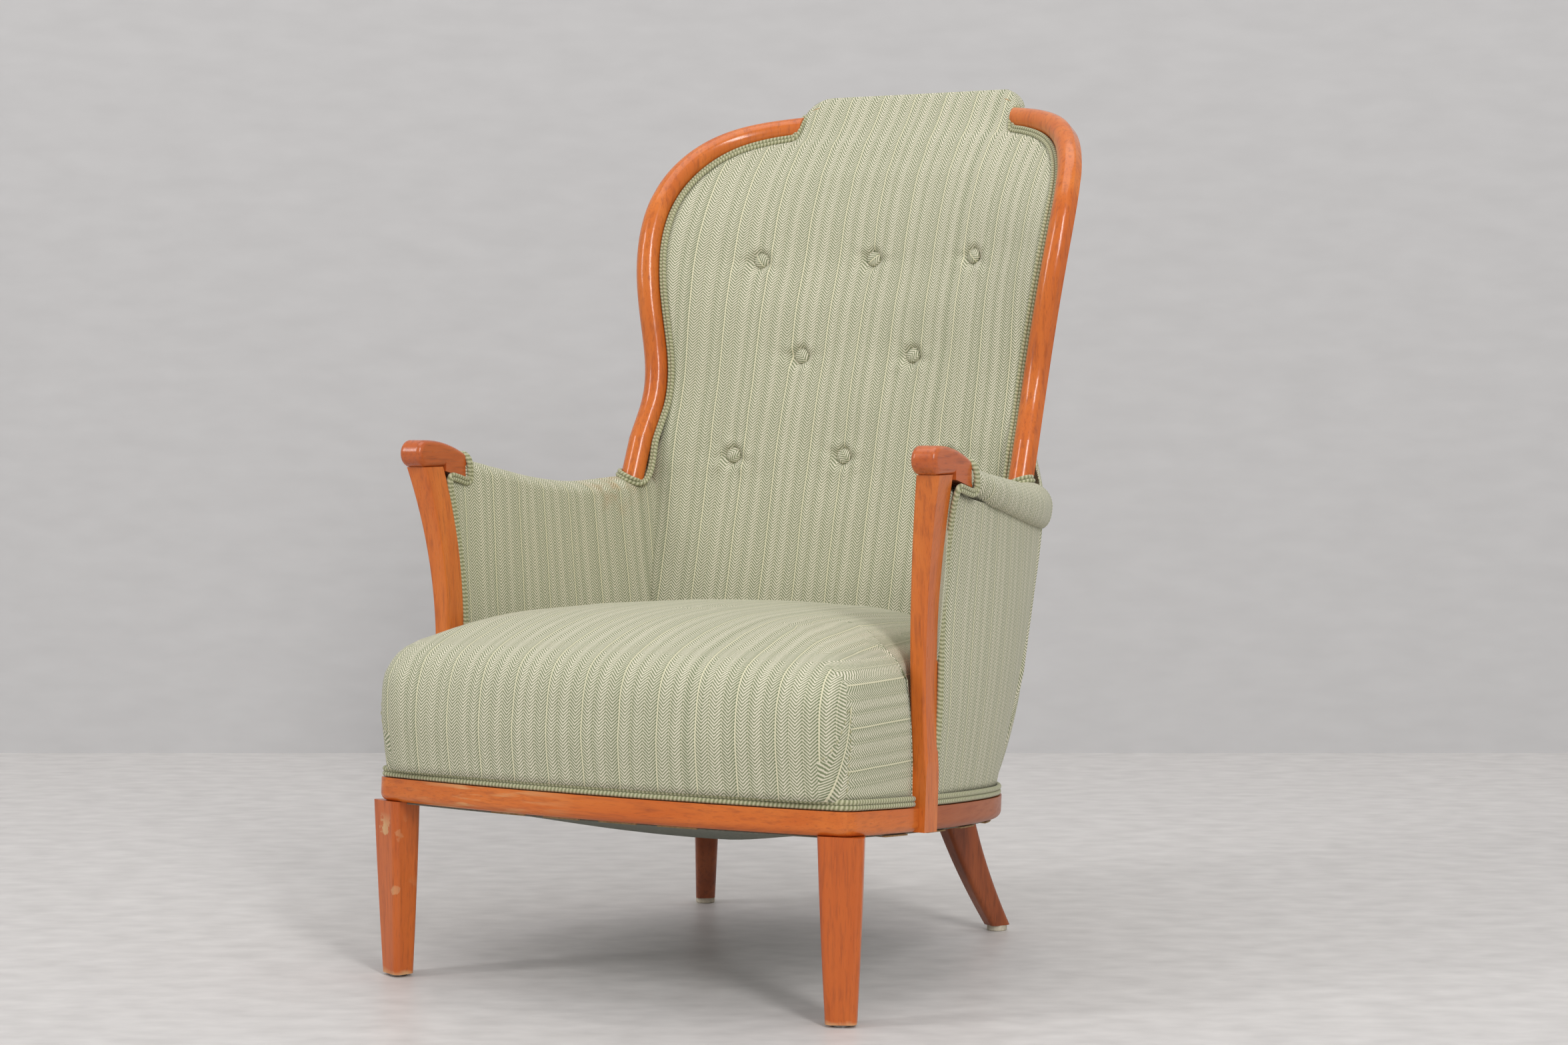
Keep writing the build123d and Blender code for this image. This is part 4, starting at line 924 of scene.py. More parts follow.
@dataclass
class InsideBack:
    """Barrel-shaped inside back with sewn buttons and a padded crest that rolls over."""

    edge: tuple = (
        (330, 217, 525.5), (374, 225, 535.5), (450, 238, 553.5), (534, 246, 571), (566, 243, 575.5),
        (586.3, 240.3, 580),
        (608.8, 239.1, 588), (636.1, 236.9, 599.4), (667.2, 237.3, 608), (697.5, 240.3, 611.9), (726.7, 244.6, 613.1),
        (754.6, 249.1, 613.8), (781.6, 253, 615.6), (807.9, 256.2, 619.8), (833.2, 258.4, 626.8), (856.7, 259.1, 637),
        (878.4, 258.2, 650.4), (898, 255.2, 666), (915.5, 249.3, 682.8), (931, 240.4, 699.8), (944.3, 228.2, 716.6),
        (955, 213, 732.2), (962.9, 194.6, 746.4), (968.7, 173.4, 759.8), (972.6, 153, 771), (977, 149.4, 775.5),
        (985, 149, 780), (1000, 148.8, 789), (1006, 147.8, 793), (1012, 145.8, 797), (1018, 142.5, 802),
        (1023, 138.5, 807), (1027, 133.5, 811.5), (1030, 128, 816), (1031.5, 122, 820),
    )
    middle: tuple = (
        (330, 543), (390, 560), (480, 582), (570, 605), (635, 625), (693, 645), (760, 668), (814, 688), (870, 709.5),
        (925, 734), (960, 759), (985, 782), (1000, 795.5), (1015, 807), (1026, 815), (1031.5, 822),
    )
    buttons: tuple = (
        (0, 814), (147.8, 814), (-147.8, 814), (77.3, 693), (-77.3, 693), (0, 569.5), (148.6, 569.5), (-148.6, 569.5),
    )
    coarse: tuple[float, float] = (0.024, 6.4)
    fine: tuple[float, float] = (0.0098, 2.6)
    fine_shares: tuple = ((-0.07, 0.07), (0.247, 0.397), (0.5, 0.69), (-0.397, -0.247), (-0.69, -0.5))
    fine_heights: tuple = ((547, 592), (671, 715), (792, 836))
    crest_heights: tuple = (
        944, 948, 952, 956, 960, 963, 966, 968.5, 970.5, 972.5, 974.5, 977, 981, 986, 991, 996, 1001, 1006,
        1011, 1015, 1019, 1022.5, 1025.5, 1028, 1030, 1031.5,
    )
    crest_roll: tuple = (
        (0.004, -0.0006), (0.008, 0.0006), (0.0112, 0.004), (0.0128, 0.009), (0.013, 0.016), (0.012, 0.022),
    )
    puff: float = 6.0
    tuft_room: float = 120
    pit: tuple[float, float] = (13.0, 12.6)
    hollow: tuple[float, float] = (6.5, 45.0)
    gathers: tuple[float, float, float] = (0.7, 21.0, 11.0)
    reach: float = 0.004
    button_radius: float = 0.0099

    def surface(self, share: float, height: float) -> Vector:
        """Point of the cloth at a share of the half width and a height in millimetres."""
        half, rim = along(self.edge, height)
        centre = along(self.middle, height)[0]
        rim -= 4.0 * min(1.0, max(0.0, (height - 540) / 90), max(0.0, (990 - height) / 20))
        puff = (1 - abs(share) ** 14) * (self.puff if height < 930 else max(1.5, self.puff - (height - 930) / 12))
        depth = rim + (centre - rim) * (1 - share * share) - puff
        x = share * (half + 1.2)
        for bx, bz in self.buttons:
            across, up = x - bx, height - bz
            r = math.hypot(across, up)
            if r < self.tuft_room:
                angle = math.atan2(up, across)
                depth += self.pit[0] * math.exp(-((r / self.pit[1]) ** 3))
                uneven = self.hollow[0] * (1 + 0.14 * math.cos(4 * angle + 0.6))
                depth += uneven * math.exp(-((r / self.hollow[1]) ** 2))
                fold, away, width = self.gathers
                depth += fold * math.cos(7 * angle + bx) * math.exp(-(((r - away) / width) ** 2))
        return spot(x, depth, height)

    def build(self, cloth: bpy.types.Material) -> bpy.types.Object:
        """Draw the inside back from the seat up and over the crest.

        Args:
            cloth: The cloth's material.

        Returns:
            The inside back.
        """
        shares = self.spaced(-1.0, 1.0, self.fine_shares, self.fine[0], self.coarse[0])
        heights = self.spaced(330, 940, self.fine_heights, self.fine[1], self.coarse[1])
        heights += self.crest_heights
        rows, chart = [], []
        for height in heights:
            row = [self.surface(share, height) for share in shares]
            chart.append(self.chart_row(row, height / 1000))
            rows.append(self.rim(row, height))
        top = rows[-1]
        for back, fall in self.crest_roll:
            rows.append([point + Vector((0, back, -fall)) for point in top])
            chart.append([(u, v + back) for u, v in chart[len(heights) - 1]])
        mesh = Skin(rows, chart).mesh("inside_back")
        piece = put("inside_back", mesh, cloth, Slot.CLOTH)
        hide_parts("back_cover", "back_padding")
        Settling().settle(piece, self.held, self.reach)
        return piece

    @staticmethod
    def spaced(first: float, last: float, zones: tuple, fine: float, coarse: float) -> list[float]:
        """Places between two ends, closer together inside the zones.

        Args:
            first: First place.
            last: Last place.
            zones: Stretches with the fine spacing.
            fine: Step inside the zones.
            coarse: Step elsewhere.

        Returns:
            The places in rising order, with both ends.
        """
        places = [first]
        while places[-1] < last - fine:
            step = fine if any(low <= places[-1] < high for low, high in zones) else coarse
            places.append(places[-1] + step)
        return [first + (place - first) * (last - first) / (places[-1] - first) for place in places]

    def held(self, place: Vector) -> float:
        """Grip of the frame, of the seat and of the buttons on the cloth."""
        height = place.z * 1000
        if height < 345 or height > 968:
            return 1.0
        half = along(self.edge, height)[0]
        near = min(math.hypot(place.x * 1000 - bx, height - bz) for bx, bz in self.buttons)
        return 1.0 if near < 14 or abs(place.x) * 1000 > half - 3 else 0.0

    def rim(self, row: Row, height: float) -> Row:
        """Row with its cloth turned back at both ends, and let out behind the arms."""
        depth = 0.02 if height < 978 else min(0.03, 0.828 + FRONT_Y - row[0].y)
        flare = 0.016 * min(1.0, max(0.0, (600 - height) / 30))
        turned = [(depth, flare + 0.002 * (flare > 0)), (depth * 0.35, max(0.0012, flare))]
        left = [row[0] + Vector((-out, k, 0)) for k, out in turned]
        right = [row[-1] + Vector((out, k, 0)) for k, out in reversed(turned)]
        return left + row + right

    def chart_row(self, row: Row, height: float) -> UvRow:
        """Cloth UVs of a row: stripes run straight up."""
        edge = row[-1].x
        inner = [(point.x, height) for point in row]
        left = [(-edge - 0.02, height), (-edge - 0.007, height)]
        return left + inner + [(edge + 0.007, height), (edge + 0.02, height)]

    def build_buttons(self, cloth: bpy.types.Material) -> bpy.types.Object:
        """Cover the buttons in the same cloth.

        Args:
            cloth: The cloth's material.

        Returns:
            The eight buttons as one piece.
        """
        work = bmesh.new()
        chart = work.loops.layers.uv.new("cloth")
        for bx, bz in self.buttons:
            half = along(self.edge, bz)[0]
            centre = self.surface(bx / half, bz)
            side = self.surface(bx / half + 0.06, bz) - self.surface(bx / half - 0.06, bz)
            rise = self.surface(bx / half, bz + 16) - self.surface(bx / half, bz - 16)
            outward = side.cross(rise).normalized()
            made = bmesh.ops.create_uvsphere(work, u_segments=32, v_segments=16, radius=self.button_radius)["verts"]
            bmesh.ops.scale(work, verts=made, vec=(1, 1, 0.56))
            turn = Vector((0, 0, 1)).rotation_difference(outward).to_matrix()
            bmesh.ops.rotate(work, verts=made, matrix=turn, cent=(0, 0, 0))
            bmesh.ops.translate(work, verts=made, vec=centre + outward * 0.0046)
            for face in {face for vert in made for face in vert.link_faces}:
                face.smooth = True
                for loop in face.loops:
                    x, z = loop.vert.co.x - bx / 1000, loop.vert.co.z - bz / 1000
                    lay = bx / 90 + bz / 150
                    across = x * math.cos(lay) + z * math.sin(lay) + bz / 9000
                    loop[chart].uv = (across, z * math.cos(lay) - x * math.sin(lay))
        piece = put("covered_buttons", written(work, "covered_buttons"), cloth, Slot.CLOTH)
        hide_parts("back_buttons")
        return piece


@dataclass
class PaddedArm:
    """Inside arm with its outward roll, between the post and the inside back."""

    hand: Hand
    fuller: float = 0
    stations: tuple = (
        (205, 295, 309.5, 578, 340, 548), (247, 291, 308, 576, 341, 546), (266, 287.5, 302.5, 570, 346, 539),
        (300, 281, 294, 563, 349, 528), (380, 265.5, 283, 549, 343, 512), (460, 245.5, 268, 541, 331, 499),
        (545, 220, 247, 545, 305, 491),
    )
    post_rear: tuple = ((235, 206), (300, 212), (372, 220.5), (470, 216.5), (545, 207.5), (600, 204))
    low: float = 330
    slab: float = 24
    shoulder: float = 18
    overhang: float = 13
    cap_rear: float = 247
    cap_room: tuple[float, float] = (336.0, 547.0)
    post_zone: tuple[float, float] = (212, 260)
    end: tuple = ((546, 1.0), (552, 0.94), (557, 0.82), (560.5, 0.64), (562, 0.45))
    end_centre: tuple[float, float] = (277, 515)
    reach: float = 0.003

    def section(self, depth: float) -> list[tuple[float, float]]:
        """Loop of half widths and heights across the arm, in millimetres."""
        low, inner, top, roll, under = along(self.stations, depth)
        top += self.fuller * math.sin(math.pi * min(1.0, max(0.0, (depth - 300) / 245)))
        crest = (inner + roll) / 2
        points = []
        for k in range(9):
            height = self.low + k / 8 * (top - self.shoulder - self.low)
            points.append((low + (inner - low) * (height - 290) / (top - self.shoulder - 290), height))
        for k in range(1, 9):
            a = math.pi / 2 * k / 8
            points.append((crest - (crest - inner) * math.cos(a), top - self.shoulder + self.shoulder * math.sin(a)))
        half = (top + under) / 2
        for k in range(1, 9):
            a = math.pi / 2 * k / 8
            points.append((crest + (roll - crest) * math.sin(a), half + (top - half) * math.cos(a)))
        for k in range(1, 7):
            a = math.pi / 2 * k / 6
            points.append((roll - self.overhang * (1 - math.cos(a)), half - (half - under) * math.sin(a)))
        points.append((inner + self.slab, under))
        points.append((low + self.slab * 0.6, self.low))
        return points

    def build(self, cloth: bpy.types.Material) -> bpy.types.Object:
        """Draw the arm section by section from the post to its rounded end.

        Args:
            cloth: The cloth's material.

        Returns:
            The padded arm.
        """
        sign = self.hand.value
        rows, chart = [], []
        depths = [212, 218, 224, 230, 238, self.cap_rear - 0.2, self.cap_rear, 252]
        depths += [258 + 8 * k for k in range(36)]
        last = self.stations[-1][0]
        for depth in [d for d in depths if d < last] + [d for d, _ in self.end]:
            row = []
            for half, height in self.section(min(depth, last)):
                if depth < self.cap_rear:
                    half, height = min(half, self.cap_room[0]), min(height, self.cap_room[1])
                point = self.placed(half, height, depth)
                row.append(Vector((sign * point.x, point.y, point.z)))
            rows.append(row)
            around = lengths(row, True)
            chart.append([(point.y, mark) for point, mark in zip(row + [row[0]], around)])
        side = self.hand.side
        mesh = Skin(rows, chart, closed=True).mesh(f"padded_arm_{side}")
        cap_end(mesh)
        piece = put(mesh.name, mesh, cloth, Slot.CLOTH)
        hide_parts(f"arm_cover_{side}", f"arm_padding_{side}")
        Settling().settle(piece, self.held, self.reach)
        return piece

    def placed(self, half: float, height: float, depth: float) -> Vector:
        """Point of the right arm, fitted to the post in front and drawn in at the rounded end."""
        place = depth
        shrink = dict(self.end).get(depth, 1.0)
        if shrink < 1:
            centre, middle = self.end_centre
            half = centre + (half - centre) * shrink if half > centre else half
            height = middle + (height - middle) * (0.25 + 0.75 * shrink) if half > centre else height
            inside = min(1.0, max(0.0, (centre - half) / 15))
            begin = self.end[0][0]
            spare = 533 + (height - self.low) * 0.22 - depth
            place += inside * max(0.0, min((depth - begin) * 1.6, spare))
            half -= inside * (place - begin) * 0.2
        first, fitted = self.post_zone
        if depth < fitted:
            start = along(self.post_rear, height)[0] + 0.5
            place = start + (depth - first) * (fitted - start) / (fitted - first)
        return spot(half, place, height)

    @staticmethod
    def held(place: Vector) -> float:
        """Grip of the post, of the seat, of the outside panel and of the inside back on the arm."""
        depth = (place.y - FRONT_Y) * 1000
        return 1.0 if depth < 262 or depth > 540 or place.z < 0.38 or abs(place.x) > 0.345 else 0.0


@dataclass
class SeatFramePlan:
    """Plan of the seat frame: points of its right half from the front to the back, in millimetres."""

    right: tuple = (
        (0, 6), (70, 8.2), (140, 14.8), (200, 24), (240, 32), (262, 37.1), (278.4, 41.2), (285, 43.7), (289.8, 48),
        (293.4, 53.6), (296, 59.8), (298.6, 74), (302.8, 100), (308.4, 145), (311.8, 190), (313, 230), (313, 255),
        (311.2, 300), (306.7, 350), (301, 391), (291, 432), (272, 476), (244, 518), (208.6, 554), (166.6, 583),
        (121.5, 603.1), (60, 618.2), (0, 623),
    )
    tilt: float = math.radians(4.6)
    lift: float = 201

    def point(self, half: float, depth: float, rise: float) -> Vector:
        """Point over the tilted frame, a rise above its underside, in metres."""
        return spot(
            half, depth * math.cos(self.tilt) + rise * math.sin(self.tilt),
            self.lift + rise * math.cos(self.tilt) - depth * math.sin(self.tilt),
        )

    def run(self, first: float, last: float, inset: float, rise: float) -> Row:
        """Points along the right half between two depths, drawn in by an inset."""
        line = path([Vector((x, y, 0)) for x, y in self.right], 6)
        points = []
        for k, spot_at in enumerate(line):
            if not first <= spot_at.y <= last:
                continue
            way = heading(line, k)
            inward = Vector((-way.y, way.x, 0)).normalized()
            moved = spot_at + inward * inset
            points.append(self.point(moved.x, moved.y, rise))
        return points


@dataclass
class DoubleCord:
    """Two twisted cords that lie side by side along a line."""

    radius: float = 0.0026
    sides: int = 10

    def tube(self, line: Row, turns: list[Vector], shift: float) -> tuple[list[Row], list[UvRow]]:
        """Rings of one cord, moved sideways from the line."""
        rows, chart = [], []
        marks = lengths(line, False)
        for k, centre in enumerate(line):
            way = heading(line, k).normalized()
            side = (turns[k] - way * turns[k].dot(way)).normalized()
            out = way.cross(side)
            middle = centre + side * shift
            ring = []
            for step in range(self.sides):
                angle = 2 * math.pi * step / self.sides
                ring.append(middle + (side * math.cos(angle) + out * math.sin(angle)) * self.radius)
            rows.append(ring)
            chart.append([(step / self.sides, marks[k]) for step in range(self.sides + 1)])
        return rows, chart

    def build(self, name: str, runs: list[tuple[Row, list[Vector]]], cord: bpy.types.Material) -> bpy.types.Object:
        """Lay the pair of cords along one or more lines.

        Args:
            name: Name of the piece.
            runs: Lines, each with the sideways direction at its points.
            cord: The cord's material.

        Returns:
            The piece of trim.
        """
        work = bmesh.new()
        for line, turns in runs:
            for shift in (-self.radius * 0.94, self.radius * 0.94):
                rows, chart = self.tube(line, turns, shift)
                mesh = Skin(rows, chart, closed=True).mesh("cord")
                cap_end(mesh)
                work.from_mesh(mesh)
                bpy.data.meshes.remove(mesh)
        return put(name, written(work, name), cord, Slot.PIPING)


@dataclass
class Trim:
    """All the corded edges of the chair."""

    plan: SeatFramePlan = field(default_factory=SeatFramePlan)
    cords: DoubleCord = field(default_factory=DoubleCord)
    seat_cords: DoubleCord = field(default_factory=lambda: DoubleCord(radius=0.003))
    seat_inset: float = 3.4
    seat_rise: float = 32.6
    steps: int = 5
    back_facing: Vector = field(default_factory=lambda: Vector((0.2, -1, 0.25)))
    back_line: tuple = (
        (280.5, 547, 549), (278, 538, 549), (270, 530.5, 546.5), (259, 528.5, 542), (250, 535, 537.5),
        (245.4, 546, 537.5), (243.4, 555, 547), (242.8, 562.5, 565), (242.8, 569.3, 587.9),
        (241.4, 582, 611.2), (239.4, 595.4, 637.9),
        (240, 603.9, 667.9), (242.9, 607.6, 697.5), (247.2, 608.8, 726.4), (251.7, 609.5, 754.4),
        (255.6, 611.3, 781.7), (258.9, 615.6, 808.5), (261.1, 622.7, 834.4), (261.6, 633.2, 858.7),
        (260.5, 646.8, 881), (257.1, 662.7, 901.2), (250.9, 679.9, 919.2), (241.8, 697.4, 935.1),
        (229.6, 714.7, 948.7), (214.1, 730.8, 959.7), (195.5, 745.6, 967.7), (174.1, 759.4, 973.6),
        (155.5, 770.5, 977.3), (151.8, 774.5, 981.5), (150.6, 779, 988), (150.2, 785, 995.5),
        (149.8, 791.5, 1002), (148.8, 799, 1008),
    )
    arm_line: tuple = (
        (294.2, 223, 372, 180), (296.2, 222, 420, 180), (300.2, 219, 470, 180), (305, 214, 520, 180),
        (307.2, 211, 543, 180), (307.4, 214.5, 551.5, 180), (307, 229, 549.5, 180), (306.6, 244, 545.8, 180),
        (306.4, 250.6, 548.5, 175), (306.2, 251, 560, 165), (307.6, 250.3, 570.5, 140), (314, 249.8, 577.5, 105),
        (325, 249.8, 578.5, 90), (335, 249.8, 576.5, 70), (341.2, 250.3, 569, 35), (342.8, 251, 558, 10),
        (342.6, 250.3, 547, 0), (341.8, 243, 543.5, 0), (341, 228, 546.5, 0), (339.8, 214, 549, 0),
        (336.8, 211, 541, 0), (331.4, 213, 520, 0), (322.4, 218, 470, 0), (316.6, 221.8, 420, 0),
        (314.4, 223, 372, 0), (315, 217.4, 310, 0), (314, 210.4, 262, 0), (311, 208.4, 222, 0),
    )

    def both(self, line: Row, turns: list[Vector]) -> list[tuple[Row, list[Vector]]]:
        """Line with its mirror image."""
        return [(line, turns), (mirrored(line), mirrored(turns))]

    def seat_cord(self, cord: bpy.types.Material) -> None:
        """Cord along the seat frame, in front of the posts and behind them."""
        up = Vector((0, math.sin(self.plan.tilt), math.cos(self.plan.tilt)))
        half = self.plan.run(0, 173, self.seat_inset, self.seat_rise)
        front = mirrored(half)[::-1][:-1] + half
        piece = self.seat_cords.build("seat_trim", [(front, [up] * len(front))], cord)
        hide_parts("seat_piping")
        half = self.plan.run(207, 700, self.seat_inset, self.seat_rise)
        rear = half + mirrored(half)[::-1][1:]
        piece = self.seat_cords.build("base_trim", [(rear, [up] * len(rear))], cord)
        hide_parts("base_piping")

    def back_cord(self, cord: bpy.types.Material) -> None:
        """Cord along the inside of the back frame, round the foot of each stile and up to the crest."""
        line = path([spot(*p) for p in self.back_line], self.steps)
        turns = []
        for k in range(len(line)):
            turns.append(heading(line, k).cross(self.back_facing).normalized())
        piece = self.cords.build("back_trim", self.both(line, turns), cord)
        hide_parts("back_piping_left", "back_piping_right")

    def arm_cord(self, cord: bpy.types.Material) -> None:
        """Cord up each post's rear edge, under the lip of its cap, over the cap's end and down outside."""
        line, turns = [], []
        for k in range((len(self.arm_line) - 1) * self.steps + 1):
            half, depth, height, facing = spline(self.arm_line, k / self.steps)
            line.append(spot(half, depth, height))
            turns.append(Vector((math.cos(math.radians(facing)), 0, math.sin(math.radians(facing)))))
        for k, outward in enumerate(list(turns)):
            turns[k] = heading(line, k).cross(outward).normalized()
        self.cords.build("arm_trim", self.both(line, turns), cord)


@dataclass
class OutsidePanels:
    """Cloth stretched over the outside of the arms and round the back."""

    plan: SeatFramePlan = field(default_factory=SeatFramePlan)
    back: tuple = (
        (330, 293.5, 493, 640, 0.66, 484), (400, 296.5, 509, 643, 0.63, 500), (486, 301, 525, 656, 0.59, 518),
        (530, 292, 552, 661, 0.53, 545), (565, 272, 583, 667.5, 0.49, 572), (590, 258, 600, 672, 0.47, 577),
        (637, 254, 620, 686, 0.47, 602), (695, 258, 630, 703, 0.46, 614), (750, 266, 640, 718, 0.46, 616),
        (805, 273, 653, 743, 0.46, 622), (857, 276, 670, 765, 0.46, 639), (903, 271, 697, 789, 0.46, 668),
        (941, 254, 731, 808.5, 0.46, 706), (967, 222, 765, 820, 0.46, 745), (980, 178, 791, 825, 0.46, 778),
        (987, 152, 805, 828, 0.46, 796), (1003, 149.4, 818, 832, 0.46, 803), (1012, 146.8, 823, 834, 0.46, 806),
        (1020, 142, 827, 835, 0.46, 810), (1027, 134.5, 830, 835, 0.46, 814), (1031, 126, 831, 834, 0.46, 818),
    )
    columns: int = 72
    foot_rows: int = 12
    crest_heights: tuple = (946, 952, 958, 964, 969, 973, 978, 986, 995, 1005, 1014, 1020, 1024, 1028, 1031)
    swell: float = 0.0045
    tucked: float = 0.006
    turn_in: float = 10
    rise: float = 36.5
    wall: float = 0.0018
    arm_depths: tuple[float, float] = (208.5, 529)
    arm_head: tuple = (
        (208, 337, 546), (247, 337, 541), (300, 336, 528), (380, 330, 515), (460, 318, 503), (529, 299, 493),
    )
    arm_front: tuple = (
        (205, 206.5, 306), (262, 209, 311), (310, 214.5, 314), (372, 221, 314.5), (420, 220, 316.5),
        (470, 217, 322.5), (520, 211.5, 331), (545, 208.5, 336),
    )
    arm_columns: int = 40
    arm_levels: int = 36

    def outside_back(self, cloth: bpy.types.Material) -> bpy.types.Object:
        """Stretch the outside back from the seat frame up to the crest.

        Args:
            cloth: The cloth's material.

        Returns:
            The outside back.
        """
        rows, chart = [], []
        columns = self.columns
        base = self.plan.run(460, 700, 6.0, self.rise)
        base = base + mirrored(base)[::-1][1:]
        marks = lengths(base, False)
        foot = [at_length(base, marks, marks[-1] * k / columns) for k in range(columns + 1)]
        shaped = [self.ring(height) for height in [*range(330, 950, 10), *self.crest_heights]]
        for level in range(1, self.foot_rows):
            t = level / self.foot_rows
            ease = t * t * (3 - 2 * t) * 0.35 + t * 0.65
            row = [a.lerp(b, ease) for a, b in zip(foot, shaped[0])]
            for k, point in enumerate(row):
                inner = min(1.0, min(k, columns - k) / 3)
                swell = (self.swell * inner - self.tucked * (1 - inner)) * math.sin(math.pi * t)
                point += swell * Vector((point.x, point.y, 0)).normalized()
            rows.append(row)
        rows = [foot] + rows + shaped
        for row in rows:
            marks = lengths(row, False)
            chart.append([(mark - marks[-1] / 2, point.z) for mark, point in zip(marks, row)])
        mesh = Skin(rows, chart).mesh("outside_back")
        piece = put("outside_back", mesh, cloth, Slot.CLOTH)
        self.thicken(piece)
        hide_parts("outer_back")
        return piece

    @staticmethod
    def area(piece: bpy.types.Object) -> float:
        """Flat area of a cloth panel, in square metres."""
        return sum(face.area for face in piece.data.polygons)

    @classmethod
    def thicken(cls, piece: bpy.types.Object) -> None:
        """Give a cloth panel its thickness, inwards."""
        wall = piece.modifiers.new("thickness", "SOLIDIFY")
        wall.thickness = cls.wall
        wall.offset = -1

    def ring(self, height: float) -> Row:
        """Row across the outside back at a height in millimetres."""
        half, edge, crown, fullness, tuck = along(self.back, height)
        quarter = edge + (crown - edge) * fullness
        stations = [(half, edge), (0.74 * half, quarter), (0, crown), (-0.74 * half, quarter), (-half, edge)]
        turned = self.turn_in * max(0.0, min(1.0, (530 - height) / 60))
        ends = [(half + 1 - turned, tuck), (half + 1 - 0.35 * turned, (tuck + edge) / 2)]
        row = [spot(x, depth, height) for x, depth in ends]
        for k in range(self.columns - 3):
            x, depth = spline(stations, 4 * k / (self.columns - 4))
            row.append(spot(x, depth, height))
        return row + [spot(-x, depth, height) for x, depth in reversed(ends)]

    def outside_arm(self, hand: Hand, cloth: bpy.types.Material) -> bpy.types.Object:
        """Stretch the panel between the seat frame and the roll of an arm.

        Args:
            hand: Side of the chair.
            cloth: The cloth's material.

        Returns:
            The outside arm panel.
        """
        sign = hand.value
        foot = self.plan.run(206, 476, 6.5, self.rise)
        marks = lengths(foot, False)
        first, last = self.arm_depths
        corner = spot(337, 208, 546)
        rows, chart = [], []
        for level in range(self.arm_levels + 1):
            t = level / self.arm_levels
            row = []
            for k in range(self.arm_columns + 1):
                s = k / self.arm_columns
                low = at_length(foot, marks, marks[-1] * s)
                depth = first + (last - first) * s
                half, height = along(self.arm_head, depth)
                high = spot(half, depth, height)
                point = low.lerp(high, t)
                point.x += 0.004 * math.sin(math.pi * t) * math.sin(math.pi * min(1.0, s + 0.05))
                point.x += 0.0065 * math.sin(math.pi * t) * s * s
                edge_depth, edge_half = along(self.arm_front, point.z * 1000)
                bulge = edge_depth / 1000 + FRONT_Y + 0.0045
                ahead = max(0.0, 1 - s / 0.6)
                point.x += ahead * ahead * (edge_half / 1000 - foot[0].lerp(corner, t).x)
                if s < 0.25:
                    point.y = bulge + (point.y - low.lerp(high, t).y) + (s / 0.25) * (point.y - bulge)
                if k == 0:
                    point.x -= 0.008
                row.append(Vector((sign * point.x, point.y, point.z)))
            rows.append(row)
            chart.append([(point.y, point.z) for point in row])
        name = f"outside_arm_{hand.side}"
        mesh = Skin(rows, chart).mesh(name)
        piece = put(name, mesh, cloth, Slot.CLOTH)
        self.thicken(piece)
        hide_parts(f"outer_arm_{hand.side}")
        return piece


@dataclass
class Underside:
    """Dust cloth that sags between the legs."""

    plan: SeatFramePlan = field(default_factory=SeatFramePlan)
    sag: float = 30
    rings: int = 15

    def build(self, dust: bpy.types.Material) -> bpy.types.Object:
        """Draw the cloth ring by ring from the rails to its low middle.

        Args:
            dust: The dust cloth's material.

        Returns:
            The dust cloth.
        """
        half = self.plan.run(0, 700, 14, 0)
        loop = half + mirrored(half)[::-1][1:-1]
        centre = self.plan.point(0, 270, 0)
        rows, chart = [], []
        for k in range(self.rings):
            t = k / self.rings
            drop = -0.6 - self.sag * t * t * (3 - 2 * t)
            row = [centre + (point - centre) * (1 - t) + Vector((0, 0, drop / 1000)) for point in loop]
            rows.append(row)
            chart.append([(p.x, p.y) for p in row + [row[0]]])
        mesh = Skin(rows, chart, closed=True, gathered=True).mesh("dust_cloth")
        piece = put("dust_cloth", mesh, dust, Slot.DUST)
        OutsidePanels.thicken(piece)
        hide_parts("dust_cover")
        OutsidePanels.area(piece)
        return piece


